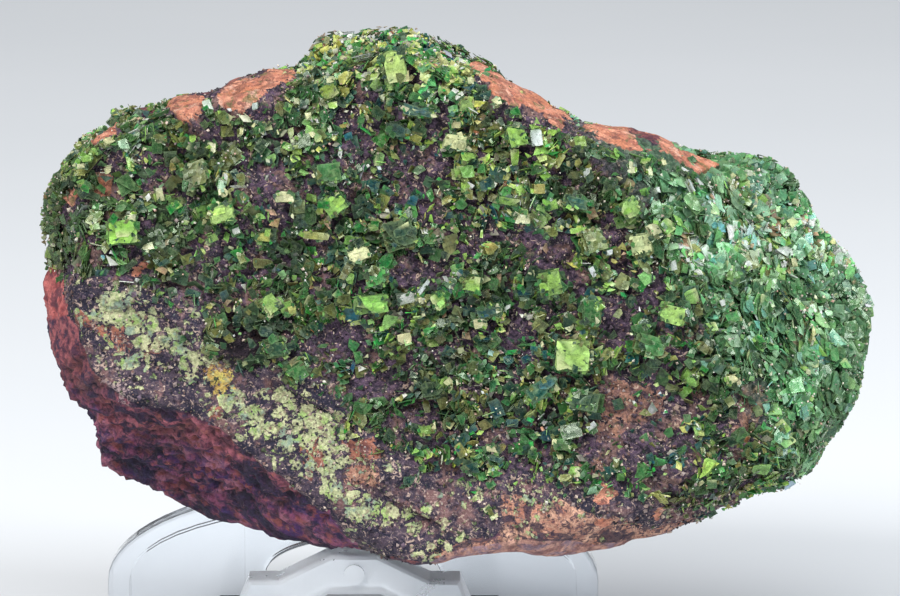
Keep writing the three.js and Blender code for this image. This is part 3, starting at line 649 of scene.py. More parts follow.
def rock_material():
    t = Tree("rock_surface")
    co = t.n("ShaderNodeTexCoord").outputs["Object"]

    def zone(name):
        return t.n(
            "ShaderNodeSeparateColor",
            {"Color": t.n("ShaderNodeAttribute", attribute_name=name).outputs["Color"]},
        ).outputs

    film_, orange_, dark_ = zone("zone_a")
    yellow_, tan_, band_ = zone("zone_b")
    hollow_shade_, pink_, grey_ = zone("zone_c")
    ledge_, under_, rust_ = zone("zone_d")
    warm_, blow_, side_ = zone("zone_e")
    # coordinates drawn out along the bedding, which dips to the right
    turned = t.n("ShaderNodeMapping", {"Vector": co, "Rotation": (0.0, math.radians(-25), 0.0)}).outputs[0]
    along = t.n("ShaderNodeMapping", {"Vector": turned, "Scale": (0.66, 1.0, 1.0)}).outputs[0]
    big = t.noise(along, 260, 6, 0.62, 0.5)
    streak = t.noise(along, 560, 6, 0.64, 0.3)
    mid = t.noise(co, 900, 6, 0.62)
    coarse = t.noise(co, 330, 6, 0.62, 0.4)
    tone = t.noise(co, 230, 6, 0.66, 1.4)
    fine = t.noise(co, 3400, 4, 0.6)
    spot = t.noise(co, 1700, 3, 0.5, 1.2)
    lace = t.noise(co, 1100, 6, 0.7, 0.8)
    hue_g = t.noise(co, 760, 4, 0.6, 0.4)
    lace2 = t.noise(co, 1500, 7, 0.74, 1.0)
    grit = t.n("ShaderNodeTexVoronoi", {"Vector": co, "Scale": 2600.0, "Randomness": 1.0}).outputs["Distance"]

    def patch(mask, noise, amount, lo, hi):
        k = t.math("ADD", mask, t.math("MULTIPLY", t.math("SUBTRACT", noise, 0.5), amount))
        return t.ramp(k, lo, hi)

    def part(fac, share):
        return t.math("MULTIPLY", fac, share)

    # iron-stained broken rock: brown to brick red, blue-black stains along the bedding
    col = t.mix(t.ramp(mid, 0.38, 0.62), lin(66, 36, 52), lin(146, 82, 80))
    col = t.mix(t.ramp(coarse, 0.52, 0.60), col, lin(166, 106, 96))
    col = t.mix(t.ramp(coarse, 0.46, 0.36), col, lin(84, 48, 72))
    # the lower face is the most purple, partly its own colour and partly a painted blue cast of reflected light,
    # redder where it meets the ledge
    low = t.mix(t.ramp(mid, 0.40, 0.58), lin(62, 30, 60), lin(146, 80, 112))
    low = t.mix(part(t.ramp(coarse, 0.52, 0.58), 0.8), low, lin(170, 108, 128))
    low = t.mix(t.ramp(coarse, 0.47, 0.40), low, lin(80, 46, 98))
    low = t.mix(part(t.ramp(hue_g, 0.52, 0.60), 0.75), low, lin(150, 80, 74))
    low = t.mix(part(t.ramp(hue_g, 0.44, 0.37), 0.70), low, lin(62, 52, 104))
    col = t.mix(part(patch(under_, mid, 0.6, 0.40, 0.60), 0.95), col, low)
    hot = t.mix(t.ramp(mid, 0.40, 0.58), lin(92, 42, 62), lin(182, 104, 112))
    hot = t.mix(part(t.ramp(hue_g, 0.54, 0.62), 0.5), hot, lin(184, 114, 96))
    col = t.mix(part(patch(warm_, mid, 1.6, 0.46, 0.66), 0.8), col, hot)
    black = t.mix(t.ramp(fine, 0.3, 0.7), lin(18, 15, 40), lin(50, 42, 74))
    col = t.mix(part(t.ramp(big, 0.515, 0.565), 0.92), col, black)
    col = t.mix(part(t.ramp(streak, 0.57, 0.62), 0.6), col, black)
    col = t.mix(part(t.ramp(streak, 0.40, 0.34), 0.30), col, lin(160, 106, 116))
    col = t.mix(part(t.ramp(lace, 0.57, 0.62), 0.6), col, lin(34, 24, 50))
    # smooth red-brown flank, darker and stained lower down
    band_c = t.mix(t.ramp(mid, 0.38, 0.60), lin(144, 64, 66), lin(206, 116, 112))
    band_c = t.mix(part(t.ramp(coarse, 0.52, 0.58), 0.75), band_c, lin(80, 42, 62))
    band_c = t.mix(part(t.ramp(lace, 0.55, 0.61), 0.6), band_c, lin(84, 46, 62))
    deep_b = t.mix(t.ramp(mid, 0.42, 0.58), lin(74, 34, 58), lin(166, 94, 98))
    deep_b = t.mix(part(t.ramp(coarse, 0.50, 0.56), 0.85), deep_b, lin(42, 34, 68))
    band_c = t.mix(patch(blow_, mid, 0.9, 0.46, 0.66), band_c, deep_b)
    col = t.mix(patch(band_, mid, 0.5, 0.42, 0.56), col, band_c)
    col = t.mix(part(patch(blow_, mid, 0.9, 0.46, 0.66), 0.5), col, deep_b)
    # tan, orange and pinkish broken rock with dark grains
    tan_c = t.mix(t.ramp(mid, 0.38, 0.62), lin(156, 104, 88), lin(222, 176, 150))
    tan_c = t.mix(t.ramp(coarse, 0.54, 0.64), tan_c, lin(186, 120, 94))
    tan_c = t.mix(part(t.ramp(spot, 0.55, 0.62), 0.85), tan_c, lin(92, 68, 78))
    tan_c = t.mix(part(t.ramp(lace, 0.53, 0.57), 0.85), tan_c, lin(48, 34, 54))
    tan_c = t.mix(part(t.ramp(tone, 0.54, 0.58), 0.85), tan_c, lin(50, 36, 56))
    # dark ground of the ledge, navy to mauve grey, with rusty and pinkish patches
    led = t.mix(t.ramp(lace, 0.43, 0.60), lin(26, 24, 50), lin(98, 80, 94))
    led = t.mix(part(t.ramp(coarse, 0.53, 0.61), 0.70), led, lin(142, 104, 100))
    led = t.mix(part(t.ramp(big, 0.50, 0.56), 0.90), led, lin(26, 24, 48))
    led = t.mix(part(t.ramp(lace, 0.55, 0.60), 0.6), led, lin(30, 26, 46))
    rust_c = t.mix(t.ramp(mid, 0.42, 0.58), lin(104, 58, 56), lin(176, 114, 92))
    led = t.mix(patch(part(rust_, 0.8), lace, 2.8, 0.50, 0.60), led, rust_c)
    led = t.mix(part(t.ramp(fine, 0.56, 0.68), 0.55), led, lin(156, 136, 130))
    led = t.mix(part(t.ramp(spot, 0.59, 0.65), 0.85), led, lin(196, 170, 156))
    col = t.mix(patch(ledge_, mid, 0.8, 0.42, 0.58), col, led)
    col = t.mix(patch(part(tan_, 0.8), lace, 2.4, 0.46, 0.54), col, tan_c)
    # dark ground under the plates
    dark_c = t.mix(t.ramp(lace, 0.43, 0.58), lin(27, 20, 40), lin(98, 76, 99))
    dark_c = t.mix(part(t.ramp(coarse, 0.54, 0.62), 0.8), dark_c, lin(136, 104, 96))
    dark_c = t.mix(part(t.ramp(hue_g, 0.58, 0.66), 0.7), dark_c, lin(60, 78, 52))
    dark_c = t.mix(part(t.ramp(lace2, 0.54, 0.60), 0.65), dark_c, lin(30, 22, 38))
    dark_c = t.mix(part(t.ramp(fine, 0.55, 0.66), 0.45), dark_c, lin(140, 122, 122))
    earth = t.mix(t.ramp(mid, 0.42, 0.58), lin(88, 60, 66), lin(178, 130, 106))
    dark_c = t.mix(part(patch(part(rust_, 0.70), lace, 3.4, 0.50, 0.60), 0.80), dark_c, earth)
    dark_c = t.mix(part(t.ramp(spot, 0.61, 0.66), 0.85), dark_c, lin(204, 176, 158))
    green_c = t.mix(t.ramp(lace, 0.40, 0.60), lin(44, 76, 52), lin(96, 134, 100))
    dark_c = t.mix(part(side_, 0.8), dark_c, green_c)
    col = t.mix(patch(dark_, mid, 0.9, 0.40, 0.58), col, dark_c)
    # bare orange to salmon rock lies over both
    or_c = t.mix(t.ramp(mid, 0.38, 0.60), lin(180, 108, 88), lin(230, 162, 134))
    or_c = t.mix(part(t.ramp(coarse, 0.53, 0.60), 0.8), or_c, lin(196, 124, 92))
    or_c = t.mix(part(t.ramp(tone, 0.54, 0.59), 0.65), or_c, lin(136, 92, 78))
    or_c = t.mix(part(t.ramp(streak, 0.43, 0.38), 0.6), or_c, lin(150, 92, 80))
    or_c = t.mix(part(t.ramp(lace, 0.55, 0.60), 0.8), or_c, lin(104, 66, 64))
    or_c = t.mix(part(t.ramp(streak, 0.57, 0.63), 0.7), or_c, lin(230, 186, 166))
    or_c = t.mix(part(t.ramp(hue_g, 0.58, 0.64), 0.65), or_c, lin(98, 108, 66))
    col = t.mix(patch(part(orange_, 0.92), lace, 1.9, 0.42, 0.50), col, or_c)
    # powdery films in lobed islands with dark cracks between
    hue = t.noise(co, 420, 4, 0.6, 0.5)
    isle = t.noise(co, 310, 3, 0.55, 0.8)
    film_c = t.mix(t.ramp(fine, 0.32, 0.66), lin(150, 160, 116), lin(198, 202, 156))
    film_c = t.mix(t.ramp(hue, 0.52, 0.60), film_c, lin(206, 206, 162))
    film_c = t.mix(t.ramp(hue, 0.48, 0.40), film_c, lin(140, 160, 140))
    film_c = t.mix(part(t.ramp(mid, 0.53, 0.62), 0.85), film_c, lin(150, 182, 100))
    film_c = t.mix(part(t.ramp(spot, 0.55, 0.62), 0.7), film_c, lin(128, 112, 96))
    crackle = t.n("ShaderNodeVectorMath", {
        0: co, 1: t.n("ShaderNodeVectorMath", {0: t.n("ShaderNodeTexNoise", {"Vector": co, "Scale": 900.0, "Detail": 4.0}).outputs["Color"], "Scale": 0.0016}, operation="SCALE").outputs[0],
    }, operation="ADD").outputs[0]
    gap = t.n("ShaderNodeTexVoronoi", {"Vector": crackle, "Scale": 620.0, "Randomness": 1.0}, feature="DISTANCE_TO_EDGE").outputs["Distance"]
    base = t.math("ADD", part(film_, 0.33), part(ledge_, 0.23))
    base = t.math("ADD", base, part(t.math("SUBTRACT", isle, 0.5), 1.7))
    base = t.math("ADD", base, part(t.math("SUBTRACT", lace2, 0.5), 1.0))
    base = t.math("ADD", base, part(t.math("SUBTRACT", t.ramp(gap, 0.0, 0.20), 0.5), 0.34))
    film_m = t.ramp(base, 0.47, 0.51)
    film_m = t.math("MULTIPLY", film_m, t.math("SUBTRACT", 1.0, part(dark_, 0.95)))
    film_m = t.math("MULTIPLY", film_m, t.math("SUBTRACT", 1.0, band_))
    film_m = t.math("MULTIPLY", film_m, t.math("SUBTRACT", 1.0, under_))
    col = t.mix(part(film_m, 0.95), col, film_c)
    yellow_c = t.mix(t.ramp(mid, 0.4, 0.6), lin(186, 138, 66), lin(216, 196, 104))
    col = t.mix(part(patch(part(yellow_, 0.62), lace2, 2.8, 0.46, 0.58), 0.9), col, yellow_c)
    col = t.mix(part(patch(part(pink_, 0.6), lace2, 2.8, 0.46, 0.62), 0.8), col, lin(196, 170, 170))
    # grey weathered rind along the lower edge
    grey_c = t.mix(t.ramp(mid, 0.40, 0.60), lin(142, 98, 94), lin(212, 162, 144))
    grey_c = t.mix(part(t.ramp(streak, 0.50, 0.58), 0.75), grey_c, lin(122, 110, 134))
    grey_c = t.mix(part(t.ramp(lace, 0.55, 0.60), 0.7), grey_c, lin(92, 62, 68))
    col = t.mix(part(patch(grey_, mid, 0.7, 0.40, 0.55), 0.85), col, grey_c)
    # grain, and painted shade in the hollows
    col = t.mix(t.ramp(fine, 0.28, 0.58), t.mix(0.40, col, (0, 0, 0, 1)), col)
    col = t.mix(t.math("MULTIPLY", t.ramp(hollow_shade_, 0.55, 1.0), 0.70), col, lin(20, 16, 22))
    h = t.math("ADD", t.math("MULTIPLY", mid, 0.9), t.math("MULTIPLY", fine, 0.35))
    h = t.math("ADD", h, t.math("MULTIPLY", t.ramp(grit, 0.0, 0.35), 0.18))
    h = t.math("ADD", h, t.math("MULTIPLY", film_m, 0.30))
    h = t.math("ADD", h, t.math("MULTIPLY", lace, 0.5))
    bump = t.bump(h, 1.0, 0.00045)
    rough = t.ramp(mid, 0.25, 0.75, 0.60, 0.92)
    t.principled(Base_Color=col, Roughness=rough, Normal=bump, IOR=1.45)
    return t.mat


rock_ob = link(rock_mesh, "rock_matrix_surface", rock_material())
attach(rock_ob, "root")
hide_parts("rock_matrix")

# ------------------------------------------------------------------ where the plates grow
tri_p = tips[tris]
tri_area = 0.5 * np.linalg.norm(
    np.cross(tri_p[:, 1] - tri_p[:, 0], tri_p[:, 2] - tri_p[:, 0]), axis=1
)
cent_d = druse_d[tris].mean(1)
cent_f = facing[tris].mean(1)
grow = (cent_d > -2.4) & (cent_f > 0.15)
pick_w = np.where(grow, tri_area, 0)
pick_w /= pick_w.sum()

SPARSE = [  # dark ground shows here: x0, x1, y0, y1 in frame pixels
    (420, 452, 118, 138), (390, 457, 146, 192), (388, 446, 253, 288), (300, 376, 322, 366),
    (415, 450, 198, 225), (524, 572, 226, 268), (606, 638, 154, 179), (625, 666, 183, 205),
    (577, 676, 410, 470), (563, 642, 482, 542), (213, 269, 322, 362), (345, 395, 372, 400),
    (470, 500, 228, 246), (600, 640, 300, 330), (250, 290, 165, 190), (400, 440, 395, 430),
    (430, 470, 470, 492), (640, 690, 470, 500), (340, 372, 128, 150), (640, 700, 395, 420),
    (740, 760, 385, 410), (500, 520, 330, 350), (300, 330, 230, 250), (212, 232, 130, 146),
    (120, 150, 236, 262), (570, 596, 270, 296), (590, 676, 374, 412), (690, 714, 390, 412),
    (740, 768, 376, 428), (676, 700, 430, 448), (150, 172, 172, 196), (206, 232, 236, 258), (78, 110, 156, 172), (84, 112, 246, 262),
    (270, 296, 190, 216), (176, 206, 266, 290),
]
LIGHT = [  # paler plates crowd together here
    [(376, 50), (410, 44), (452, 48), (486, 84), (500, 112), (470, 112), (420, 100), (384, 92)],
    [(498, 124), (548, 118), (572, 140), (560, 168), (512, 166)],
    [(440, 150), (484, 142), (500, 176), (470, 200), (446, 184)],
    [(196, 226), (240, 228), (262, 250), (240, 262), (204, 252)],
    [(548, 214), (640, 196), (664, 240), (640, 290), (590, 270)],
    [(470, 300), (520, 296), (524, 330), (480, 336)],
    [(70, 140), (130, 118), (140, 150), (90, 172), (60, 176)],
    [(56, 196), (120, 190), (150, 250), (120, 262), (58, 256)],
    [(322, 44), (376, 30), (392, 60), (384, 92), (340, 96)],
    [(214, 176), (250, 170), (262, 200), (226, 210)],
    [(330, 300), (420, 290), (440, 330), (350, 330)],
]


WHITE = [  # glints crowd together here
    [(700, 176), (740, 168), (768, 196), (800, 236), (800, 268), (776, 278), (750, 250), (716, 226)],
    [(806, 306), (826, 300), (836, 350), (828, 374), (808, 366)],
    [(664, 230), (704, 226), (712, 262), (676, 270)],
    [(794, 204), (812, 212), (856, 256), (862, 276), (842, 274), (808, 240)],
]
DEEP = [
    [(838, 276), (874, 290), (868, 398), (826, 452), (800, 478), (806, 420), (836, 372)],
    [(758, 284), (812, 276), (812, 318), (770, 326)],
    [(776, 176), (806, 184), (806, 214), (784, 214)],
    [(700, 340), (752, 330), (760, 400), (712, 420)],
    [(176, 330), (296, 316), (300, 370), (212, 366)],
    [(44, 206), (78, 214), (86, 268), (48, 262)],
    [(546, 168), (600, 168), (644, 210), (644, 240), (604, 238), (560, 204)],
]


def on_shoulder(x, y):
    return smooth(-30, 40, (x - 590) * 0.859 + (y - 125) * -0.510)


def growth(p, x, y, ua, va):
    """How thickly plates grow, 0 to 1."""
    d = inside(DRUSE_AREA, ua, va) + 0.9 * fbm(p * 0.45, 11, 3)
    d = d + 2.4 * poly_mask(x, y, ORANGE, 3.0, 11.0)
    keep = smooth(-1.8, 1.2, d)
    wx_, wy_ = x + 7 * fbm(p * 0.7, 91, 3), y + 7 * fbm(p * 0.7, 93, 3)
    keep *= 1 - 0.95 * box_mask(wx_, wy_, SPARSE, 2)
    ox, oy = x + 5.6 * fbm(p * 0.55, 31, 3), y + 5.6 * fbm(p * 0.55, 37, 3)
    keep *= 1 - 0.96 * poly_mask(ox, oy, ORANGE, 2.0, -0.5)
    keep *= 1 - 0.95 * box_mask(wx_, wy_, ORANGE_SPOTS[:6], 4)
    keep *= 1 - 0.80 * poly_mask(x, y, TAN, 5.0)
    clump = smooth(-0.24, 0.14, fbm(p * 0.85, 101, 3))
    clump = np.maximum(clump, 0.9 * poly_mask(x, y, ORANGE, 3.0, 11.0))
    keep *= clump + (1 - clump) * (0.08 + 0.70 * on_shoulder(x, y))
    return keep * (1 - smooth(4.6, 9.0, p[:, 1] - rim_at(ua, va) + 3.2 * fbm(p * 0.22, 141, 4)))


def scatter(count, seed, power=1.0):
    """Seeds on the druse's upper envelope: place, normal, frame pixels, how near the silhouette, seed numbers."""
    r = np.random.default_rng(seed)
    k = r.choice(len(tris), size=count, p=pick_w)
    a, b = r.random(count), r.random(count)
    flip = a + b > 1
    a, b = np.where(flip, 1 - a, a), np.where(flip, 1 - b, b)
    p = tri_p[k, 0] + (tri_p[k, 1] - tri_p[k, 0]) * a[:, None] + (tri_p[k, 2] - tri_p[k, 0]) * b[:, None]
    ua, va, x, y = seen_at(p)
    ok = r.random(count) < growth(p, x, y, ua, va) ** power
    p, x, y = p[ok], x[ok], y[ok]
    n = gradient(p)
    edge = near_edge(p)
    dip = hummocks(p) - 0.22 * edge
    return p - n * dip[:, None], n, x, y, edge, dip, r


# painted light in the kinds: the near-white kind is painted glare and glints; cream is partly a pale colour of its own
# and partly a painted highlight; teal is partly its own blue-green and partly painted shade with reflected blue; the
# s_ kinds for the shoulder are its own greens made paler and bluer by a painted sheen
PALETTE = {
    "dark": lin(22, 54, 45), "mid": lin(47, 101, 52), "olive": lin(112, 112, 62),
    "emerald": lin(30, 134, 56), "teal": lin(12, 66, 72), "lime": lin(148, 192, 92),
    "cream": lin(224, 222, 176), "pale": lin(142, 186, 156), "tan": lin(172, 138, 116),
    "frost": lin(214, 220, 218), "yellow": lin(180, 178, 98), "grey": lin(126, 120, 112),
    "rust": lin(160, 96, 74), "s_dark": lin(42, 100, 60), "s_mid": lin(84, 152, 96),
    "s_pale": lin(150, 196, 158), "s_lime": lin(148, 206, 118), "s_blue": lin(98, 162, 144),
}
# how strongly dark growth zones show in each kind
MOTTLE = {"cream": 0.30, "frost": 0.15, "pale": 0.5, "s_pale": 0.25, "s_lime": 0.3, "s_blue": 0.35,
          "s_mid": 0.4, "s_dark": 0.6, "lime": 0.75, "tan": 0.7, "grey": 0.7, "yellow": 0.8}


def colours(kinds, r, spread=0.22, tone=None):
    base = np.array([PALETTE[k] for k in kinds])
    k = np.exp(spread * r.normal(size=(len(base), 1)))
    swing = np.array([0.35 if q in ("cream", "frost", "tan", "grey", "s_pale") else 1.0 for q in kinds])
    swing = (swing * min(1.0, float(np.mean(spread)) / 0.18))[:, None]
    hue = np.exp(swing * np.array([0.10, 0.07, 0.18]) * r.normal(size=(len(base), 3)))
    out = base.copy()
    out[:, :3] = np.clip(base[:, :3] * k * hue * (1 if tone is None else tone), 0.004, 0.85)
    out[:, 3] = [MOTTLE.get(q, 1.0) for q in kinds]
    return out


def settle(col, x, y):
    """Towards both ends of the stone the plates differ less from one another."""
    out = col.copy()
    left = 0.20 * smooth(190, 60, x) + 0.16 * smooth(380, 200, x)
    right = 0.36 * on_shoulder(x, y) * (1 - 0.85 * poly_mask(x, y, WHITE, 10.0))
    for k, c in ((left, lin(96, 112, 70)), (right, lin(96, 146, 106))):
        out[:, :3] += k[:, None] * (np.array(c[:3]) - out[:, :3])
    return out


def tones(p, x, y):
    """Slow changes of shade and hue across the druse."""
    k = 0.98 * fbm(p * 0.20, 501, 2) + 0.66 * fbm(p * 0.50, 507, 2) + 0.24 * poly_mask(x, y, LIGHT, 12.0)
    k = k + 0.30 * box_mask(x, y, [(318, 500, 20, 128)], 10) + 0.12 * box_mask(x, y, [(330, 470, 24, 110)], 10) - 0.34 * box_mask(x, y, [(712, 806, 146, 196)], 8)
    k = k + 0.22 * box_mask(x, y, [(60, 150, 116, 172)], 10) + 0.40 * on_shoulder(x, y) * fbm(p * 0.40, 511, 2)
    k = k + 0.08 * box_mask(x, y, [(300, 560, 150, 340)], 30)
    # painted highlight: plates are brighter where glints crowd
    k = k + 0.34 * poly_mask(x, y, WHITE, 10.0) - 0.42 * poly_mask(x, y, DEEP, 10.0)
    blue = 0.60 * fbm(p * 0.30, 521, 2) * (1 - 0.5 * on_shoulder(x, y))
    return np.exp(np.stack([k - 0.3 * blue, k, k + blue], -1))


def choose(r, p, x, y, table, right):
    """A kind of plate for each place; neighbours lean towards the same kinds."""
    names = list(table) + [q for q in right if q not in table]
    pa = np.array([table.get(n, 0) for n in names], float)
    qa = np.array([right.get(n, 0) for n in names], float)
    shoulder = on_shoulder(x, y)[:, None]
    w = (pa / pa.sum())[None] * (1 - shoulder) + (qa / qa.sum())[None] * shoulder
    light = poly_mask(x, y, LIGHT, 10.0)
    white, deep = poly_mask(x, y, WHITE, 10.0), poly_mask(x, y, DEEP, 10.0)
    rusty = box_mask(x, y, ORANGE_SPOTS[6:], 1)
    for i, q in enumerate(names):
        w[:, i] *= np.exp((3.4 - 0.4 * shoulder[:, 0]) * fbm(p * 0.6, 400 + 7 * i, 2))
        if q in ("lime", "cream", "yellow", "pale", "frost"):
            w[:, i] *= 1 + 2.6 * light
        if q in ("dark", "teal"):
            w[:, i] *= 1 - 0.7 * light
        if q in ("frost", "s_pale", "cream"):
            w[:, i] *= (1 + (8.0 if q == "frost" else 3.0) * white) * (1 - 0.8 * deep)
        if q in ("tan", "rust"):
            w[:, i] *= 1 + 12.0 * white + 90.0 * rusty
        if q in ("s_dark", "s_mid", "dark", "emerald"):
            w[:, i] *= (1 - 0.4 * white) * (1 + 1.2 * deep)
    cum = np.cumsum(w / w.sum(1, keepdims=True), 1)
    u = r.random(len(x))[:, None]
    return [names[i] for i in np.minimum((u > cum).sum(1), len(names) - 1)]


def frames(n, tilt, r, lean_field=None):
    """Plate axes whose face normal is tilted from the surface normal n."""
    rand = r.normal(size=n.shape)
    if lean_field is not None:
        rand = rand * 0.7 + lean_field * 1.2
    t = rand - (rand * n).sum(1, keepdims=True) * n
    t /= np.linalg.norm(t, axis=1, keepdims=True)
    ez = n * np.cos(tilt)[:, None] + t * np.sin(tilt)[:, None]
    ref = r.normal(size=n.shape)
    ex = ref - (ref * ez).sum(1, keepdims=True) * ez
    ex /= np.linalg.norm(ex, axis=1, keepdims=True)
    ey = np.cross(ez, ex)
    return ex, ey, ez


def outward(p, n, edge):
    """Along the silhouette the plates lean out from the broad face instead of lying flat."""
    ua, va, _, _ = seen_at(p)
    k = 1.5 * edge * (1 - smooth(0.0, 3.5, p[:, 1] - rim_at(ua, va)))
    m = n + np.array([0.0, -1.0, 0.0]) * k[:, None]
    return m / np.linalg.norm(m, axis=1, keepdims=True)


CORNERS = np.array([(-1, -1), (1, -1), (1, 1), (-1, 1)], float)


def ragged(m, r, k=12, jag=0.09, cut=0.42, broken=0.75):
    """Outlines of m worn and broken squares, k points each (8, 12 or 16), within -1..1."""
    c = r.uniform(0.03, cut, (m, 4, 2))
    c = np.where(r.random((m, 4, 1)) < 0.16, r.uniform(0.5, 0.9, (m, 4, 2)), c)
    pts = []
    mids = (k - 8) // 4
    for s in range(4):
        p0, p1 = CORNERS[s], CORNERS[(s + 1) % 4]
        d = (p1 - p0) / 2
        out = np.array([d[1], -d[0]])
        a0 = p0 + d * c[:, s, 1:2]
        a1 = p1 - d * c[:, (s + 1) % 4, :1]
        inset = r.uniform(-1.6 * jag, 0, (m, 1))
        pts.append(a0 + out * (inset + r.uniform(-0.5 * jag, 0.0, (m, 1))))
        for q in range(mids):
            f = (q + 1) / (mids + 1) + r.uniform(-0.18, 0.18, (m, 1))
            pts.append(a0 * (1 - f) + a1 * f + out * (inset + jag * r.uniform(-0.9, 0.4, (m, 1))))
        pts.append(a1 + out * (inset + r.uniform(-0.5 * jag, 0.0, (m, 1))))
    z = np.stack(pts, 1)
    for share in (broken, 0.35 * broken):
        th = r.uniform(0, 2 * math.pi, m)
        way = np.stack([np.cos(th), np.sin(th)], -1)
        lim = np.where(r.random(m) < share, r.uniform(0.1, 0.8, m), 9.0)
        over = np.maximum((z * way[:, None]).sum(-1) - lim[:, None], 0)
        z = z - way[:, None] * over[..., None] * r.uniform(0.75, 0.96, (m, 1, 1))
    return z + 0.022 * r.normal(size=z.shape)


def slivers(m, r):
    z = CORNERS[None] * (1 + 0.26 * r.normal(size=(m, 4, 1)).clip(-1.8, 1.4))
    lost = (np.arange(4)[None] == r.integers(0, 4, m)[:, None]) & (r.random(m) < 0.55)[:, None]
    z = z * np.where(lost, r.uniform(0.05, 0.5, (m, 1)), 1.0)[..., None]
    z[..., 0] += 0.35 * r.normal(size=(m, 1)) * z[..., 1]
    return z.clip(-1.5, 1.5)


def prisms(c, ex, ey, ez, a, b, t, out):
    """Closed tablets with a fanned top face. Third local value: 0 at the middle of the top, 1 at the rim."""
    m, k = out.shape[:2]
    verts, local = [], []
    for z, s in ((-0.5, 0.95), (0.5, 1.0)):
        x = out[:, :, 0] * a[:, None] * s
        y = out[:, :, 1] * b[:, None] * s
        verts.append(
            c[:, None] + ex[:, None] * x[..., None] + ey[:, None] * y[..., None] + ez[:, None] * (t * z)[:, None, None]
        )
        local.append(np.stack([x, y, np.ones_like(x)], -1))
    mx = (out[:, :, 0].mean(1) * a)[:, None]
    my = (out[:, :, 1].mean(1) * b)[:, None]
    verts.append(
        c[:, None] + ex[:, None] * mx[..., None] + ey[:, None] * my[..., None] + ez[:, None] * (t * 0.5)[:, None, None]
    )
    local.append(np.stack([mx, my, np.zeros_like(mx)], -1))
    verts = np.concatenate(verts, 1)
    local = np.concatenate(local, 1)
    loops = list(range(k))[::-1]
    tot = [k]
    for i in range(k):
        j = (i + 1) % k
        loops += [i, j, k + j, k + i]
        tot.append(4)
    for i in range(k):
        loops += [k + i, k + (i + 1) % k, 2 * k]
        tot.append(3)
    per = 2 * k + 1
    loops = (np.array(loops)[None] + (np.arange(m) * per)[:, None]).ravel()
    return verts.reshape(-1, 3), local.reshape(-1, 3), loops, np.tile(tot, m), per


class Pile:
    """Collects closed pieces into one joined mesh."""

    def __init__(self):
        self.v, self.l, self.lo, self.to, self.c, self.m, self.count = [], [], [], [], [], [], 0

    def add(self, c, ex, ey, ez, a, b, t, out, col, r, amp=0.16, pale=0.0, n=None, room=None):
        """amp is how much the shade wanders round the rim, pale how often one side of a plate is cream as a painted
        highlight.
        With n and room, no point stands further than room beyond the tip surface, and points sunk below it are
        darkened as painted shade."""
        v, l, lo, to, per = prisms(c, ex, ey, ez, a, b, t, out)
        m, k = out.shape[:2]
        if n is not None:
            q = v.reshape(m, per, 3)
            height = stone(q[..., 0], q[..., 1], q[..., 2])
            far = height.max(1)
            q = q - n[:, None] * np.maximum(far - room, 0)[:, None, None]
            v = q.reshape(-1, 3)
            # painted shade: points sunk below the tip surface are darkened
            sunk = (far[:, None] - height) / (far - height.min(1) + 0.25)[:, None]
            sunk_shade = 1.10 - 0.58 * smooth(0.15, 0.95, sunk)
        l = l.copy()
        l[:, :2] += np.repeat(r.uniform(-50, 50, size=(m, 2)), per, 0)
        ring = np.repeat(col[:, None], k, 1)
        ring[..., :3] *= np.exp(amp * r.normal(size=(m, k, 1)))
        # painted highlight: one side of some plates is turned cream; on other plates one side is darkened
        th = r.uniform(0, 2 * math.pi, m)
        way = np.stack([np.cos(th), np.sin(th)], -1)
        g = smooth(0.2, 0.95, (out * way[:, None]).sum(-1))
        light = (r.random(m) < np.asarray(pale))[:, None]
        cream = np.array(PALETTE["cream"])
        dim = np.array([0.35, 0.42, 0.34, 1.0])
        side = np.where(light[..., None], cream * np.array([0.85, 0.9, 0.8, 0.4]), ring * dim)
        g = g * np.where(light, 0.9, (r.random(m) < 0.5)[:, None] * 0.8)
        ring = ring * (1 - g[..., None]) + side * g[..., None]
        shades = np.concatenate([ring, ring, col[:, None]], 1)
        if n is not None:
            shades[..., :3] *= sunk_shade[..., None]
        self.raw(v, l, lo, to, np.clip(shades, 0.004, 1).reshape(-1, 4))

    def raw(self, v, l, lo, to, col):
        self.v.append(v)
        self.l.append(l)
        self.lo.append(np.asarray(lo) + self.count)
        self.to.append(np.asarray(to))
        self.c.append(np.concatenate([col[:, :3], np.ones((len(col), 1))], 1))
        self.m.append(col[:, 3])
        self.count += len(v)

    def build(self, name, material):
        to = np.concatenate(self.to)
        me = mesh_from(
            name, world(np.concatenate(self.v)), np.concatenate(self.lo),
            np.concatenate([[0], np.cumsum(to)[:-1]]), to,
        )
        put(me, "Col", "POINT", "FLOAT_COLOR", np.concatenate(self.c))
        put(me, "Lc", "POINT", "FLOAT_VECTOR", np.concatenate(self.l))
        put(me, "Mottle", "POINT", "FLOAT", np.concatenate(self.m))
        me.shade_flat()
        return link(me, name, material)


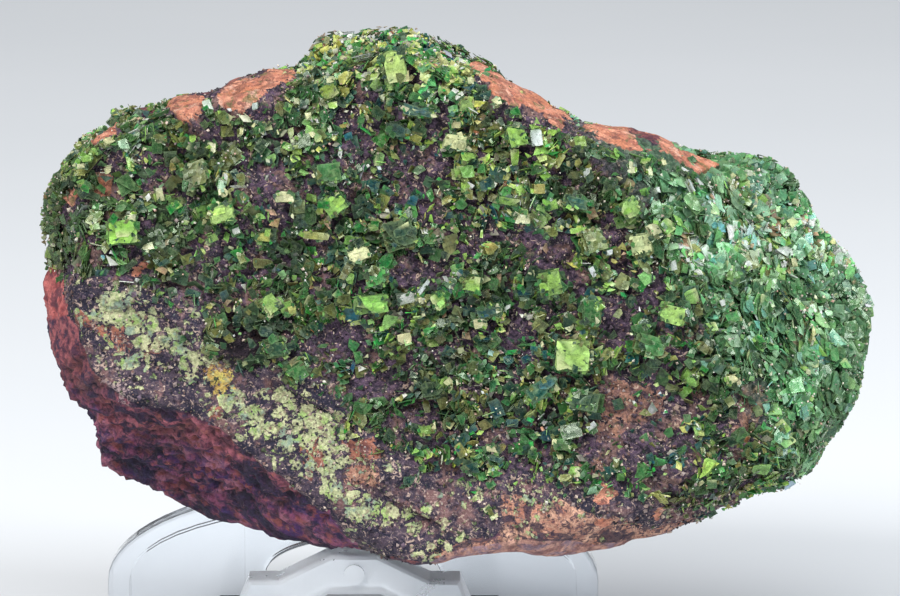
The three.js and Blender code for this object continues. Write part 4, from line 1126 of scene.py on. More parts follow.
def crystal_material(name, rough, trans, rim, cloud, blot_amount):
    t = Tree(name)
    col = t.n("ShaderNodeAttribute", attribute_name="Col").outputs["Color"]
    mottle = t.n("ShaderNodeAttribute", attribute_name="Mottle").outputs["Fac"]
    lc = t.n("ShaderNodeAttribute", attribute_name="Lc").outputs["Vector"]
    co = t.n("ShaderNodeTexCoord").outputs["Object"]
    xyz = t.n("ShaderNodeSeparateXYZ", {"Vector": lc}).outputs
    flat = t.n("ShaderNodeCombineXYZ", {"X": xyz[0], "Y": xyz[1], "Z": 0.0}).outputs[0]

    def part(fac, share):
        return t.math("MULTIPLY", fac, share)

    # growth lines along both edges of the square, and cloudy zones
    sx = t.n("ShaderNodeMapping", {"Vector": flat, "Scale": (9.0, 0.9, 1.0)}).outputs[0]
    sy = t.n("ShaderNodeMapping", {"Vector": flat, "Scale": (0.9, 9.0, 1.0)}).outputs[0]
    lines = t.math("MAXIMUM", t.noise(sx, 1.0, 3, 0.6), t.noise(sy, 1.0, 3, 0.6))
    mist = t.noise(flat, 2.1, 5, 0.62)
    speck = t.noise(flat, 6.0, 4, 0.66)
    zone = t.noise(flat, 0.9, 3, 0.5, 0.6)
    # mosaic of small blocks, each a little out of line with the next
    block = t.n(
        "ShaderNodeTexVoronoi", {"Vector": flat, "Scale": 2.3, "Randomness": 0.9},
        voronoi_dimensions="2D", distance="CHEBYCHEV",
    ).outputs
    part_id = t.n("ShaderNodeSeparateColor", {"Color": block["Color"]}).outputs
    off = t.n("ShaderNodeVectorMath", {0: flat, 1: block["Position"]}, operation="SUBTRACT").outputs[0]
    way = t.n("ShaderNodeVectorMath", {0: block["Color"], 1: (0.5, 0.5, 0.5)}, operation="SUBTRACT").outputs[0]
    slope = t.n("ShaderNodeVectorMath", {0: off, 1: way}, operation="DOT_PRODUCT").outputs["Value"]
    pale = t.mix(0.42, col, (0.50, 0.68, 0.32, 1))
    deep = t.mix(0.72, col, (0.004, 0.024, 0.010, 1))
    c = t.mix(part(t.ramp(mist, 0.50, 0.32), part(mottle, 0.80)), col, deep)
    c = t.mix(part(t.ramp(speck, 0.46, 0.36), part(mottle, 0.72)), c, deep)
    c = t.mix(part(t.ramp(part_id[0], 0.35, 1.0), part(mottle, 0.55)), c, deep)
    c = t.mix(t.math("MULTIPLY", t.ramp(zone, 0.55, 0.66), cloud), c, pale)
    c = t.mix(t.math("MULTIPLY", t.ramp(mist, 0.56, 0.70), cloud), c, pale)
    c = t.mix(part(t.ramp(part_id[1], 0.6, 1.0), cloud), c, pale)
    c = t.mix(part(t.ramp(lines, 0.58, 0.72), 0.48), c, pale)
    # painted highlight: the rim of each plate's top is paled, as if it caught the light
    edge = t.math("POWER", xyz[2], 7.0)
    c = t.mix(part(edge, rim), c, pale)
    # stain and growth zones that run on from one plate to the next
    stain = t.noise(co, 620, 4, 0.62, 0.6)
    vein = t.noise(co, 1500, 5, 0.68, 0.4)
    dim = t.mix(0.70, c, (0.007, 0.012, 0.008, 1))
    c = t.mix(part(part(t.ramp(vein, 0.47, 0.36), blot_amount), mottle), c, dim)
    c = t.mix(part(t.ramp(stain, 0.55, 0.66), 0.26 * blot_amount), c, (0.10, 0.10, 0.04, 1))
    c = t.mix(part(t.ramp(stain, 0.45, 0.34), 0.30 * blot_amount), c, (0.012, 0.10, 0.035, 1))
    h = t.math("ADD", part(lines, 0.6), part(mist, 0.5))
    h = t.math("ADD", h, part(speck, 0.3))
    h = t.math("ADD", part(h, 0.16), part(slope, 2.6))
    bump = t.bump(h, 1.0, 0.00010)
    r_ = t.ramp(mist, 0.3, 0.7, rough[0], rough[1])
    t.principled(
        Base_Color=c, Roughness=r_, IOR=1.59, Transmission_Weight=trans, Normal=bump,
        Specular_IOR_Level=0.24, Specular_Tint=(0.86, 1.0, 0.80, 1),
    )
    return t.mat


def lean_dir(p):
    return np.stack([fbm(p * 0.3, s, 2) for s in (201, 207, 213)], -1) * 3.0


pile_low, pile_a, pile_b, pile_c, pile_d, pile_e, grains = (Pile() for _ in range(7))
K = 1.0

# -- lower plates: dark, half buried, filling between the others
p, n, x, y, edge, dip, r = scatter(int(11400 * K), 301, 0.8)
m = len(p)
tilt = np.radians(np.abs(r.normal(24, 18, m))).clip(0.03, 1.4)
ex, ey, ez = frames(outward(p, n, edge), tilt, r, lean_dir(p))
a = (r.lognormal(math.log(0.56), 0.34, m) * (1 + 0.45 * on_shoulder(x, y)) * (1 - 0.3 * edge)).clip(0.26, 1.25)
b = a * r.uniform(0.6, 1.0, m)
t_ = a * r.uniform(0.08, 0.20, m)
top = r.uniform(0.30, 0.95, m)
c_ = p - n * (top + a * np.sin(tilt) * 0.85)[:, None]
kinds = choose(
    r, p, x, y,
    {"dark": 36, "mid": 28, "olive": 15, "teal": 15, "emerald": 3, "lime": 3, "grey": 2, "yellow": 1},
    {"s_dark": 27, "s_mid": 45, "emerald": 5, "teal": 3, "s_blue": 12, "s_pale": 8, "tan": 2},
)
room = -dip - 0.15 + 0.1 * r.random(m)
shoulder = on_shoulder(x, y)
col = settle(colours(kinds, r, (0.17 - 0.04 * shoulder)[:, None], tones(p, x, y)), x, y)
big = a > 0.5
for pick, k in ((big, 8), (~big, 4)):
    i = np.where(pick)[0]
    out = ragged(len(i), r, 8) if k == 8 else slivers(len(i), r)
    pile_low.add(c_[i], ex[i], ey[i], ez[i], a[i], b[i], t_[i], out, col[i], r, 0.28, 0.0, n[i], room[i])

# -- upper plates: thin ragged sheets, single or as books of near-parallel sheets
p, n, x, y, edge, dip, r = scatter(int(10200 * K), 302)
m = len(p)
tilt = np.radians(np.abs(r.normal(25, 21, m))).clip(0.02, 1.5)
ex, ey, ez = frames(outward(p, n, edge), tilt, r, lean_dir(p))
shoulder = on_shoulder(x, y)
a = (r.lognormal(math.log(0.50), 0.40, m) * (1 + 0.48 * shoulder) * (1 - 0.25 * edge)).clip(0.22, 1.15)
b = a * r.uniform(0.55, 1.0, m)
top = r.uniform(-0.12, 0.55, m)
c_ = p - n * (top + a * np.sin(tilt))[:, None]
kinds = choose(
    r, p, x, y,
    {"dark": 20, "mid": 27, "olive": 14, "teal": 12, "emerald": 7, "lime": 13, "cream": 4, "pale": 2, "grey": 4, "tan": 1, "yellow": 5, "rust": 0.3},
    {"s_dark": 13, "s_mid": 30, "emerald": 6, "s_blue": 14, "s_lime": 15, "s_pale": 14, "cream": 3, "frost": 4, "tan": 1},
)
# the odd kinds stay small
calm_kind = {"grey": "olive", "tan": "olive", "yellow": "olive", "emerald": "mid", "pale": "mid", "cream": "lime", "frost": "s_pale"}
kinds = [calm_kind.get(q, q) if a[i] > 0.48 + 0.14 * shoulder[i] else q for i, q in enumerate(kinds)]
col = settle(colours(kinds, r, (0.17 - 0.04 * shoulder)[:, None], tones(p, x, y)), x, y)
room = -dip + r.uniform(0.0, 0.38, m) * (1 - 0.7 * edge)
pale_share = np.array([{"lime": 0.35, "cream": 0.5, "yellow": 0.3, "olive": 0.08, "mid": 0.07, "s_lime": 0.3}.get(q, 0.04) for q in kinds])
number = r.choice([1, 2, 3, 4], size=m, p=[0.46, 0.28, 0.18, 0.08])
half = r.random(m) < 0.5
for layer in range(4):
    for pile, side in ((pile_a, half), (pile_b, ~half)):
        for points, sized in ((12, a >= 0.5), (8, a < 0.5)):
            if layer and points == 12:
                points = 8
            i = np.where((number > layer) & side & sized)[0]
            k = len(i)
            turn = np.radians(r.normal(0, 4, k))
            e1 = ex[i] * np.cos(turn)[:, None] + ey[i] * np.sin(turn)[:, None]
            e3 = ez[i] + 0.04 * r.normal(size=(k, 3))
            e3 /= np.linalg.norm(e3, axis=1, keepdims=True)
            e1 -= (e1 * e3).sum(1, keepdims=True) * e3
            e1 /= np.linalg.norm(e1, axis=1, keepdims=True)
            e2 = np.cross(e3, e1)
            g = r.uniform(0.72, 1.0, k) if layer else np.ones(k)
            a2, b2 = a[i] * g, b[i] * g * r.uniform(0.85, 1.0, k)
            slide = (a[i] * r.uniform(-0.35, 0.35, k))[:, None] * e1 + (b[i] * r.uniform(-0.35, 0.35, k))[:, None] * e2
            t2 = a[i] * r.uniform(0.05, 0.12, k)
            # sheets of a book lie behind the first one
            back = layer * (0.07 + 0.12 * a[i])
            cc = c_[i] + slide * (layer > 0) - e3 * back[:, None]
            # shade of each sheet: random tone, plus painted shade that darkens the sheets further back
            shade = np.exp(0.18 * r.normal(size=(k, 1)) - 0.10 * layer)
            c4 = col[i].copy()
            c4[:, :3] = np.clip(c4[:, :3] * shade, 0.004, 0.85)
            pile.add(
                cc, e1, e2, e3, a2, b2, t2, ragged(k, r, points, jag=0.12), c4, r, 0.26, pale_share[i],
                n[i], room[i] - 0.04 * layer,
            )

# -- small plates that fill the gaps
p, n, x, y, edge, dip, r = scatter(int(18400 * K), 303, 0.6)
keep = r.random(len(p)) > 0.7 * on_shoulder(x, y)
p, n, x, y, edge, dip = p[keep], n[keep], x[keep], y[keep], edge[keep], dip[keep]
m = len(p)
tilt = np.radians(r.uniform(4, 84, m))
ex, ey, ez = frames(outward(p, n, edge), tilt, r, lean_dir(p))
a = r.lognormal(math.log(0.23), 0.42, m).clip(0.08, 0.55)
b = a * r.uniform(0.4, 1.0, m)
t_ = a * r.uniform(0.12, 0.32, m)
top = r.uniform(-0.08, 0.95, m)
c_ = p - n * (top + a * np.sin(tilt))[:, None]
kinds = choose(
    r, p, x, y,
    {"dark": 19, "mid": 23, "olive": 15, "teal": 7, "emerald": 6, "lime": 11, "cream": 7, "tan": 4, "grey": 6, "frost": 1, "yellow": 4},
    {"s_dark": 8, "s_mid": 28, "emerald": 5, "s_blue": 14, "s_lime": 15, "s_pale": 18, "cream": 5, "frost": 7, "tan": 3},
)
rusty = (r.random(m) < 0.45) & (x < 54) & (y > 168) & (y < 266)
kinds = ["rust" if rusty[i] else kinds[i] for i in range(m)]
col = settle(colours(kinds, r, 0.26, tones(p, x, y)), x, y)
pile_c.add(
    c_, ex, ey, ez, a, b, t_, slivers(m, r), col, r, 0.25, 0.0,
    n, -dip + r.uniform(-0.1, 0.40, m) * (1 - 0.7 * edge),
)

# -- blades: plates seen nearly edge on
p, n, x, y, edge, dip, r = scatter(int(3400 * K), 304)
keep = r.random(len(p)) > 0.9 * edge
p, n, x, y, edge, dip = p[keep], n[keep], x[keep], y[keep], edge[keep], dip[keep]
m = len(p)
tilt = np.radians(r.uniform(60, 90, m))
ex, ey, ez = frames(n, tilt, r, lean_dir(p))
# lay the long edge along the surface
lay = np.cross(n, ez)
lay /= np.linalg.norm(lay, axis=1, keepdims=True)
ex, ey = lay, np.cross(ez, lay)
a = r.lognormal(math.log(0.42), 0.32, m).clip(0.18, 0.8)
b = a * r.uniform(0.45, 0.85, m)
t_ = r.uniform(0.04, 0.09, m)
top = r.uniform(-0.15, 0.45, m)
c_ = p - n * (top + b * 0.9)[:, None]
kinds = choose(
    r, p, x, y,
    {"dark": 22, "mid": 36, "olive": 15, "teal": 5, "emerald": 6, "lime": 10, "cream": 4},
    {"s_dark": 8, "s_mid": 30, "emerald": 5, "s_blue": 10, "s_lime": 16, "s_pale": 20, "cream": 4, "frost": 6},
)
pile_d.add(
    c_, ex, ey, ez, a, b, t_, slivers(m, r), settle(colours(kinds, r, 0.25, tones(p, x, y)), x, y), r, 0.2, 0.0,
    n, -dip + 0.35 * r.random(m) * (1 - edge),
)

# -- grains of the ground, where it shows, and bright specks among the plates, partly painted glints
f = np.array([(0, 1, 4), (1, 2, 4), (2, 3, 4), (3, 0, 4), (1, 0, 5), (2, 1, 5), (3, 2, 5), (0, 3, 5)])
octa = np.array([(1, 0, 0), (0, 1, 0), (-1, 0, 0), (0, -1, 0), (0, 0, 1), (0, 0, -1)], float)
GRAIN = {
    "g0": lin(36, 28, 44), "g1": lin(88, 72, 86), "g2": lin(130, 100, 92), "g3": lin(78, 92, 60),
    "g4": lin(212, 192, 176), "g5": lin(160, 142, 138), "g6": lin(232, 224, 206), "g7": lin(206, 168, 150),
}


def crumbs(p, n, size, names, r):
    m = len(p)
    turns = np.array([np.array(Quaternion(v).normalized().to_matrix()) for v in r.normal(size=(m, 4))])
    shape = octa[None] * r.uniform(0.55, 1.25, (m, 6, 1)) * size[:, None, None]
    v = p[:, None] + n[:, None] * (size * 0.25)[:, None, None] + np.einsum("mij,mkj->mki", turns, shape)
    gc = np.array([GRAIN[i] for i in names])
    gc[:, :3] = np.clip(gc[:, :3] * np.exp(0.22 * r.normal(size=(m, 1))), 0.004, 0.85)
    grains.raw(
        v.reshape(-1, 3), np.concatenate([v.reshape(-1, 3)[:, :2] * 3, np.ones((m * 6, 1))], 1),
        (f[None] + (np.arange(m) * 6)[:, None, None]).ravel(), np.full(m * 8, 3), np.repeat(gc, 6, 0),
    )


tri_r = rock[tris]
gr_w = np.maximum(dark[tris].mean(1), 0.8 * ledge[tris].mean(1)) * (1 - np.minimum(1.6 * orange[tris].mean(1), 1)) * (1 - 0.8 * blur_side[tris].mean(1))
gr_w = np.where(gr_w > 0.3, gr_w, 0) * 0.5 * np.linalg.norm(
    np.cross(tri_r[:, 1] - tri_r[:, 0], tri_r[:, 2] - tri_r[:, 0]), axis=1
)
gr_w /= gr_w.sum()
r = np.random.default_rng(305)
m = int(10900 * K)
k = r.choice(len(tris), size=m, p=gr_w)
p = (tri_r[k] * r.dirichlet((1, 1, 1), m)[..., None]).sum(1)
names = r.choice(["g0", "g1", "g2", "g3", "g5", "g4"], size=m, p=[0.36, 0.25, 0.13, 0.08, 0.12, 0.06])
crumbs(p, gradient(p), r.lognormal(math.log(0.13), 0.42, m).clip(0.05, 0.32), names, r)
p, n, x, y, edge, dip, r = scatter(int(4800 * K), 306, 0.7)
m = len(p)
names = r.choice(["g6", "g4", "g7", "g5"], size=m, p=[0.42, 0.24, 0.14, 0.20])
crumbs(p - n * r.uniform(0.0, 0.5, m)[:, None], n, r.lognormal(math.log(0.10), 0.35, m).clip(0.05, 0.24), names, r)

# ------------------------------------------------------------------ the largest single plates
PLATES = [
    (-31.6, 6.3, 1.55, 1.3, 6, 6, -5, 0.75, "lime"),
    (-22.0, 8.2, 1.25, 1.05, 12, -8, 6, 0.7, "lime"),
    (-7.6, -0.6, 1.7, 1.0, 6, 7, 4, 0.7, "lime"),
    (11.9, -5.5, 1.75, 1.62, -3, 4, 3, 0.8, "lime"),
    (-8.7, 4.2, 1.15, 0.9, 24, 10, -6, 0.6, "cream"),
    (-4.9, 6.1, 1.6, 1.45, 15, -11, 9, 0.7, "dark"),
    (9.6, 1.4, 1.25, 1.25, 12, 8, 8, 0.7, "lime"),
    (2.1, 1.4, 1.05, 0.8, -8, 10, -9, 0.6, "lime"),
    (-5.5, 22.2, 1.25, 1.55, 10, 9, 7, 0.7, "lime"),
    (8.9, -8.7, 1.9, 0.9, 33, -13, 8, 0.7, "teal"),
    (21.3, -1.6, 1.35, 0.95, -12, 9, -10, 0.65, "lime"),
    (13.5, -1.4, 0.95, 1.3, 5, 8, 9, 0.6, "mid"),
    (18.5, 5.0, 1.1, 1.1, 12, 12, -7, 0.6, "cream"),
    (17.3, 8.6, 1.15, 1.0, 41, 10, 9, 0.6, "lime"),
    (-24.5, 11.8, 1.35, 1.35, 20, -10, -9, 0.7, "olive"),
    (-14.8, -7.0, 1.1, 1.1, 28, -12, 6, 0.6, "mid"),
    (-7.1, 1.95, 1.1, 0.95, 8, -9, -9, 0.6, "emerald"),
    (-11.2, 9.1, 1.2, 1.05, 38, 9, -8, 0.6, "lime"),
    (0.5, 15.0, 1.2, 0.75, -9, 12, 6, 0.6, "cream"),
    (6.5, 15.5, 0.9, 1.1, 14, 9, 9, 0.6, "lime"),
    (19.2, -4.6, 1.5, 1.0, -14, -10, 9, 0.65, "mid"),
    (12.1, 9.1, 1.35, 0.7, -10, -14, 6, 0.6, "teal"),
    (13.8, 5.4, 1.25, 1.25, 18, -10, 10, 0.65, "olive"),
    (-11.8, 12.0, 1.35, 1.0, 7, -9, -9, 0.65, "mid"),
    (-17.4, -0.7, 0.9, 0.9, 36, 12, 9, 0.55, "lime"),
    (-3.0, 18.0, 1.55, 0.65, -6, -14, 8, 0.6, "teal"),
    (-1.0, -0.2, 0.85, 0.9, 30, 11, 8, 0.55, "lime"),
    (3.8, -1.3, 1.25, 0.7, 14, 11, -7, 0.55, "teal"),
    (13.0, -9.9, 1.55, 1.0, -10, -12, -8, 0.65, "dark"),
    (-16.9, -4.8, 1.15, 1.05, 12, -13, 8, 0.6, "dark"),
]


# single plates whose shade differs from their kind: plate number, share of red, green and blue
TINT = {
    1: (0.82, 1.0, 0.80), 2: (1.22, 1.0, 1.20), 3: (0.95, 1.15, 1.15), 4: (1.20, 0.97, 1.25),
    9: (1.38, 1.08, 1.45), 13: (0.82, 0.90, 0.76), 15: (0.62, 0.66, 0.52), 19: (0.90, 0.95, 0.82),
}


def face_depth(ua, va, depth):
    lo, hi = -12.0, 24.0
    for _ in range(50):
        w = (lo + hi) / 2
        q = 1 + w / VIEW
        s = float(stone(np.array([ua * q]), np.array([w]), np.array([va * q]))[0])
        if s + depth > 0:
            lo = w
        else:
            hi = w
    return (lo + hi) / 2


def plate_frame(ua, va, a, b, turn, ta, tb, t):
    """Centre and axes of a large plate, as its solid has them."""
    rad = math.radians
    lift = max(a * math.sin(rad(abs(tb))), b * math.sin(rad(abs(ta))))
    w = face_depth(ua, va, 0.12)
    q = 1 + w / VIEW
    p = np.array([ua * q, w, va * q])
    n = gradient(p[None])[0]
    x = np.cross((0, 0, 1.0), n)
    x /= np.linalg.norm(x)
    y = np.cross(n, x)
    base = Matrix((x, y, n)).transposed()
    rot = (
        Matrix.Rotation(rad(ta), 3, "X") @ Matrix.Rotation(rad(tb), 3, "Y") @ Matrix.Rotation(rad(turn), 3, "Z")
    )
    r = np.array(base @ rot)
    c = p + n * (t / 2 + 0.3 + 0.12 + lift)
    return c, r[:, 0], r[:, 1], r[:, 2], n


def overgrow(pile, c, ex, ey, ez, a, b, up, count, r):
    """Chips and small plates grown over the rim of a larger plate."""
    th = r.uniform(0, 2 * math.pi, count)
    square = 1 / np.maximum(np.abs(np.cos(th)), np.abs(np.sin(th)))
    rad = square * r.uniform(0.58, 1.05, count)
    size = r.lognormal(math.log(0.29), 0.38, count).clip(0.12, 0.6)
    q = c + ex * (a * np.cos(th) * rad)[:, None] + ey * (b * np.sin(th) * rad)[:, None] + ez * (up + r.uniform(-0.12, 0.08, count))[:, None]
    tilt = np.radians(np.abs(r.normal(20, 18, count))).clip(0.02, 1.3)
    fx, fy, fz = frames(np.tile(ez, (count, 1)), tilt, r)
    q = q - ez * (size * np.sin(tilt) * 0.7)[:, None]
    kinds = [("dark", "mid", "olive", "emerald", "lime", "teal", "cream")[i]
             for i in r.choice(7, count, p=[0.26, 0.34, 0.14, 0.08, 0.10, 0.04, 0.04])]
    pile.add(
        q, fx, fy, fz, size, size * r.uniform(0.5, 1.0, count), r.uniform(0.03, 0.07, count),
        ragged(count, r, 8), colours(kinds, r), r, 0.25, 0.05,
    )


m_plate = crystal_material("plate_pearly", (0.20, 0.44), 0.15, 0.40, 0.34, 0.6)
for i, (ua, va, a, b, turn, ta, tb, t, kind) in enumerate(PLATES):
    c, ex, ey, ez, n = plate_frame(ua, va, a, b, turn, ta, tb, t)
    c = c - n * 0.62  # the druse has grown up round it
    r = np.random.default_rng(830 + i)
    name = "plate_%02d_sheets" % (i + 1)
    book = Pile()
    layers = 6
    for j in range(layers):
        # j = 0 is the front sheet, broken back furthest
        g = (1.0, 0.94, 1.0)[j] if j < 3 else r.uniform(0.84, 1.0)
        zc = t / 2 - (j + 0.5) * t / layers
        s = np.array([0.0, 0.0]) if j == 0 else r.uniform(-0.14, 0.14, 2) * np.array([a, b])
        col = colours([kind], r, 0.12)
        col[:, 3] = max(col[0, 3], 0.9)
        # the sheets behind the front one take other greens of their own, and are darkened as painted shade
        if j:
            col[:, :3] = col[:, :3] * 0.7 + 0.3 * np.array(PALETTE[("lime", "mid", "olive")[j % 3]][:3])
            col[:, :3] = np.clip(col[:, :3] * r.uniform(0.45, 0.95), 0.004, 0.8)
        col[:, :3] = np.clip(col[:, :3] * TINT.get(i + 1, (1, 1, 1)), 0.004, 0.8)
        book.add(
            (c + ez * zc + ex * s[0] + ey * s[1])[None], ex[None], ey[None], ez[None],
            np.array([a * g]), np.array([b * g]), np.array([t / layers * 0.66]),
            ragged(1, r, 16, jag=0.11, cut=0.40, broken=(0.9 if j == 0 else 0.5)), col, r,
            0.30, {"lime": 0.45, "cream": 0.7, "yellow": 0.4}.get(kind, 0.0) if j < 2 else 0.0,
        )
    # a broken terrace left standing on the front sheet
    ang = r.uniform(0, 2 * math.pi)
    g = r.uniform(0.35, 0.7)
    s = np.array([math.cos(ang) * a * (1 - g) * 0.8, math.sin(ang) * b * (1 - g) * 0.8])
    col = colours([kind], r, 0.20)
    col[:, :3] = np.clip(col[:, :3] * TINT.get(i + 1, (1, 1, 1)), 0.004, 0.8)
    book.add(
        (c + ez * (t / 2 + 0.004) + ex * s[0] + ey * s[1])[None], ex[None], ey[None], ez[None],
        np.array([a * g]), np.array([b * g * r.uniform(0.5, 1.0)]), np.array([0.05]),
        ragged(1, r, 16, jag=0.10, cut=0.5, broken=0.9), col, r, 0.30, 0.2,
    )
    ob = book.build(name, m_plate)
    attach(ob, "root")
    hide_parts("plate_%02d" % (i + 1))
    overgrow(pile_e, c, ex, ey, ez, a, b, t / 2, 24, r)
    # sheets that carry the plate, down into the druse
    k = 5
    z0 = t / 2 + 0.1 + np.arange(k) * 0.25
    g = r.uniform(0.6, 0.98, k)
    off = r.uniform(-0.22, 0.22, (k, 2)) * np.array([a, b])
    kinds = [("mid", "olive", "dark", "lime")[q] for q in r.choice(4, k, p=[0.4, 0.25, 0.25, 0.10])]
    pile_e.add(
        c - ez * z0[:, None] + ex * off[:, :1] + ey * off[:, 1:],
        np.tile(ex, (k, 1)), np.tile(ey, (k, 1)), np.tile(ez, (k, 1)), a * g, b * g,
        r.uniform(0.10, 0.2, k), ragged(k, r, 12), colours(kinds, r), r, 0.22,
    )

# ------------------------------------------------------------------ other plates that can be told apart
# frame pixels of the middle, half width and half height in pixels, turn in degrees, kind
SINGLE = [
    (131, 217, 5, 4, 0, "cream"), (147, 247, 7, 5, 20, "cream"), (214, 239, 6, 5, 12, "lime"),
    (161, 195, 5, 9, 8, "cream"), (222, 185, 5, 8, -10, "pale"), (241, 177, 6, 6, 15, "olive"),
    (212, 148, 4, 6, 0, "cream"), (285, 195, 11, 7, 6, "cream"), (123, 145, 6, 8, 20, "pale"),
    (109, 141, 5, 9, -42, "cream"), (175, 210, 8, 8, 30, "emerald"), (265, 236, 8, 5, -8, "yellow"),
    (328, 92, 11, 9, 30, "lime"), (332, 80, 6, 4, 10, "cream"), (363, 56, 9, 9, 20, "frost"),
    (395, 131, 12, 8, -4, "teal"), (455, 126, 6, 4, 5, "cream"), (468, 156, 8, 6, 14, "lime"),
    (465, 171, 12, 7, 8, "lime"), (538, 138, 7, 10, 8, "frost"), (540, 189, 8, 6, 0, "yellow"),
    (488, 184, 9, 7, 16, "teal"), (287, 308, 8, 7, 14, "lime"), (406, 300, 10, 7, 10, "frost"),
    (490, 249, 12, 7, 12, "yellow"), (523, 294, 11, 6, 4, "teal"), (552, 232, 7, 6, 10, "olive"),
    (551, 206, 7, 6, 20, "lime"), (522, 219, 9, 6, 0, "cream"), (508, 203, 13, 5, -8, "lime"),
    (331, 313, 8, 9, 20, "olive"), (405, 338, 8, 6, 12, "cream"), (361, 228, 6, 6, 0, "emerald"),
    (711, 327, 8, 6, 14, "lime"), (731, 317, 8, 7, 10, "emerald"), (655, 229, 7, 8, 30, "cream"),
    (692, 185, 2.6, 10, 6, "frost"), (698, 181, 3.0, 9, 8, "frost"), (579, 143, 7, 8, 10, "lime"),
    (691, 383, 7, 5, -6, "lime"), (732, 380, 9, 5, 10, "cream"), (591, 426, 6, 4, 35, "frost"),
    (571, 430, 13, 10, 10, "dark"), (270, 304, 9, 6, 40, "lime"), (291, 309, 7, 7, 10, "yellow"),
    (424, 287, 4, 10, -40, "frost"), (479, 323, 8, 6, 10, "cream"), (490, 313, 10, 4, -8, "lime"),
    (316, 236, 15, 5, -4, "yellow"), (297, 371, 10, 10, 20, "emerald"), (213, 349, 8, 5, -30, "olive"),
    (493, 449, 9, 4, -8, "cream"), (496, 457, 8, 5, -14, "teal"), (472, 469, 9, 7, 12, "teal"),
    (562, 443, 9, 10, 4, "mid"), (564, 477, 7, 5, 0, "yellow"), (577, 473, 4, 6, 8, "cream"),
    (591, 490, 7, 4, 16, "pale"), (411, 481, 9, 6, 0, "teal"), (492, 512, 4, 5, 20, "olive"),
    (426, 429, 8, 5, 12, "lime"), (455, 142, 12, 5, 0, "cream"), (495, 101, 6, 5, 10, "cream"),
    (515, 134, 9, 9, 14, "lime"), (470, 81, 4, 5, 0, "cream"), (458, 95, 6, 3, 30, "frost"),
    (515, 113, 6, 6, 20, "emerald"), (644, 160, 8, 5, 12, "lime"), (648, 171, 5, 7, 10, "cream"),
    (631, 168, 4, 7, 0, "cream"), (587, 174, 4, 6, 8, "frost"), (657, 191, 3, 4, 10, "frost"),
    (663, 163, 5, 5, 0, "cream"), (683, 170, 5, 6, 24, "frost"), (209, 108, 5, 8, 24, "frost"),
    (256, 107, 4, 4, 10, "frost"), (296, 102, 3, 4, 0, "cream"), (309, 116, 4, 4, 12, "cream"),
    (223, 118, 9, 8, 10, "olive"), (281, 110, 7, 7, 40, "olive"), (193, 139, 4, 4, 0, "lime"),
    (130, 121, 9, 4, -4, "cream"), (108, 171, 4, 4, 10, "cream"), (86, 157, 7, 6, 0, "lime"),
    (81, 166, 6, 3, 10, "cream"), (64, 178, 5, 3, 0, "cream"), (84, 185, 5, 7, 30, "lime"),
    (160, 139, 8, 6, 0, "olive"), (610, 254, 4, 4, 10, "frost"), (593, 272, 4, 6, 30, "frost"),
    (673, 266, 4, 6, 14, "frost"), (697, 271, 7, 4, 4, "frost"), (690, 253, 4, 5, 0, "cream"),
    (747, 266, 5, 5, 12, "frost"), (759, 218, 6, 5, 18, "cream"), (722, 303, 5, 4, 24, "frost"),
    (572, 200, 13, 6, 6, "teal"), (783, 253, 10, 7, 14, "frost"), (776, 262, 6, 8, 30, "pale"),
    (785, 296, 4, 9, 24, "teal"), (770, 248, 7, 5, 10, "frost"), (793, 262, 5, 6, 0, "cream"),
    (430, 330, 9, 7, 10, "emerald"), (386, 262, 9, 9, 10, "emerald"), (345, 300, 9, 6, 6, "olive"),
    (300, 140, 12, 8, 10, "dark"), (258, 128, 9, 7, 24, "mid"), (200, 170, 10, 8, 16, "mid"),
    (420, 300, 6, 5, 0, "cream"), (640, 330, 10, 8, 12, "mid"), (705, 230, 10, 8, 6, "mid"),
    (820, 300, 9, 8, 20, "mid"), (800, 360, 8, 8, 8, "pale"), (760, 340, 8, 7, 24, "emerald"),
]
r = np.random.default_rng(880)
for px_, py_, hw, hh, turn, kind in SINGLE:
    ua, va = (px_ - 450) * 0.0964, (298 - py_) * 0.0964
    c, ex, ey, ez, n = plate_frame(
        ua, va, 0.01, 0.01, turn, r.uniform(-22, 22), r.uniform(-22, 22), 0.06
    )
    a, b = hw * 0.0964 * 0.92, hh * 0.0964 * 0.92
    k = 4
    z0 = 0.42 + np.arange(k) * (0.12 + 0.05 * a) + 0.3 * max(a, b)
    g = np.array([1.0, *r.uniform(0.8, 1.0, k - 1)])
    off = r.uniform(-0.2, 0.2, (k, 2)) * np.array([a, b]) * (np.arange(k) > 0)[:, None]
    col = colours([kind] * k, r, 0.12)
    # painted shade: the sheets behind the front one are darkened
    col[1:, :3] *= r.uniform(0.4, 0.9, (k - 1, 1))
    pile_e.add(
        c - ez * (z0 - 0.30)[:, None] + ex * off[:, :1] + ey * off[:, 1:],
        np.tile(ex, (k, 1)), np.tile(ey, (k, 1)), np.tile(ez, (k, 1)), a * g, b * g,
        r.uniform(0.06, 0.12, k), ragged(k, r, 12, jag=0.10, cut=0.42, broken=0.85), np.clip(col, 0.004, 1), r, 0.26,
        0.4 if kind in ("lime", "yellow") else 0.02,
    )
    if max(a, b) > 0.4:
        overgrow(pile_e, c - ez * (z0[0] - 0.30), ex, ey, ez, a, b, 0.02, 8, r)

m_low = crystal_material("druse_deep_green", (0.24, 0.44), 0.32, 0.25, 0.20, 0.9)
m_up = crystal_material("druse_bright_green", (0.14, 0.36), 0.38, 0.45, 0.32, 0.75)
m_small = crystal_material("druse_small", (0.18, 0.42), 0.28, 0.25, 0.25, 0.6)


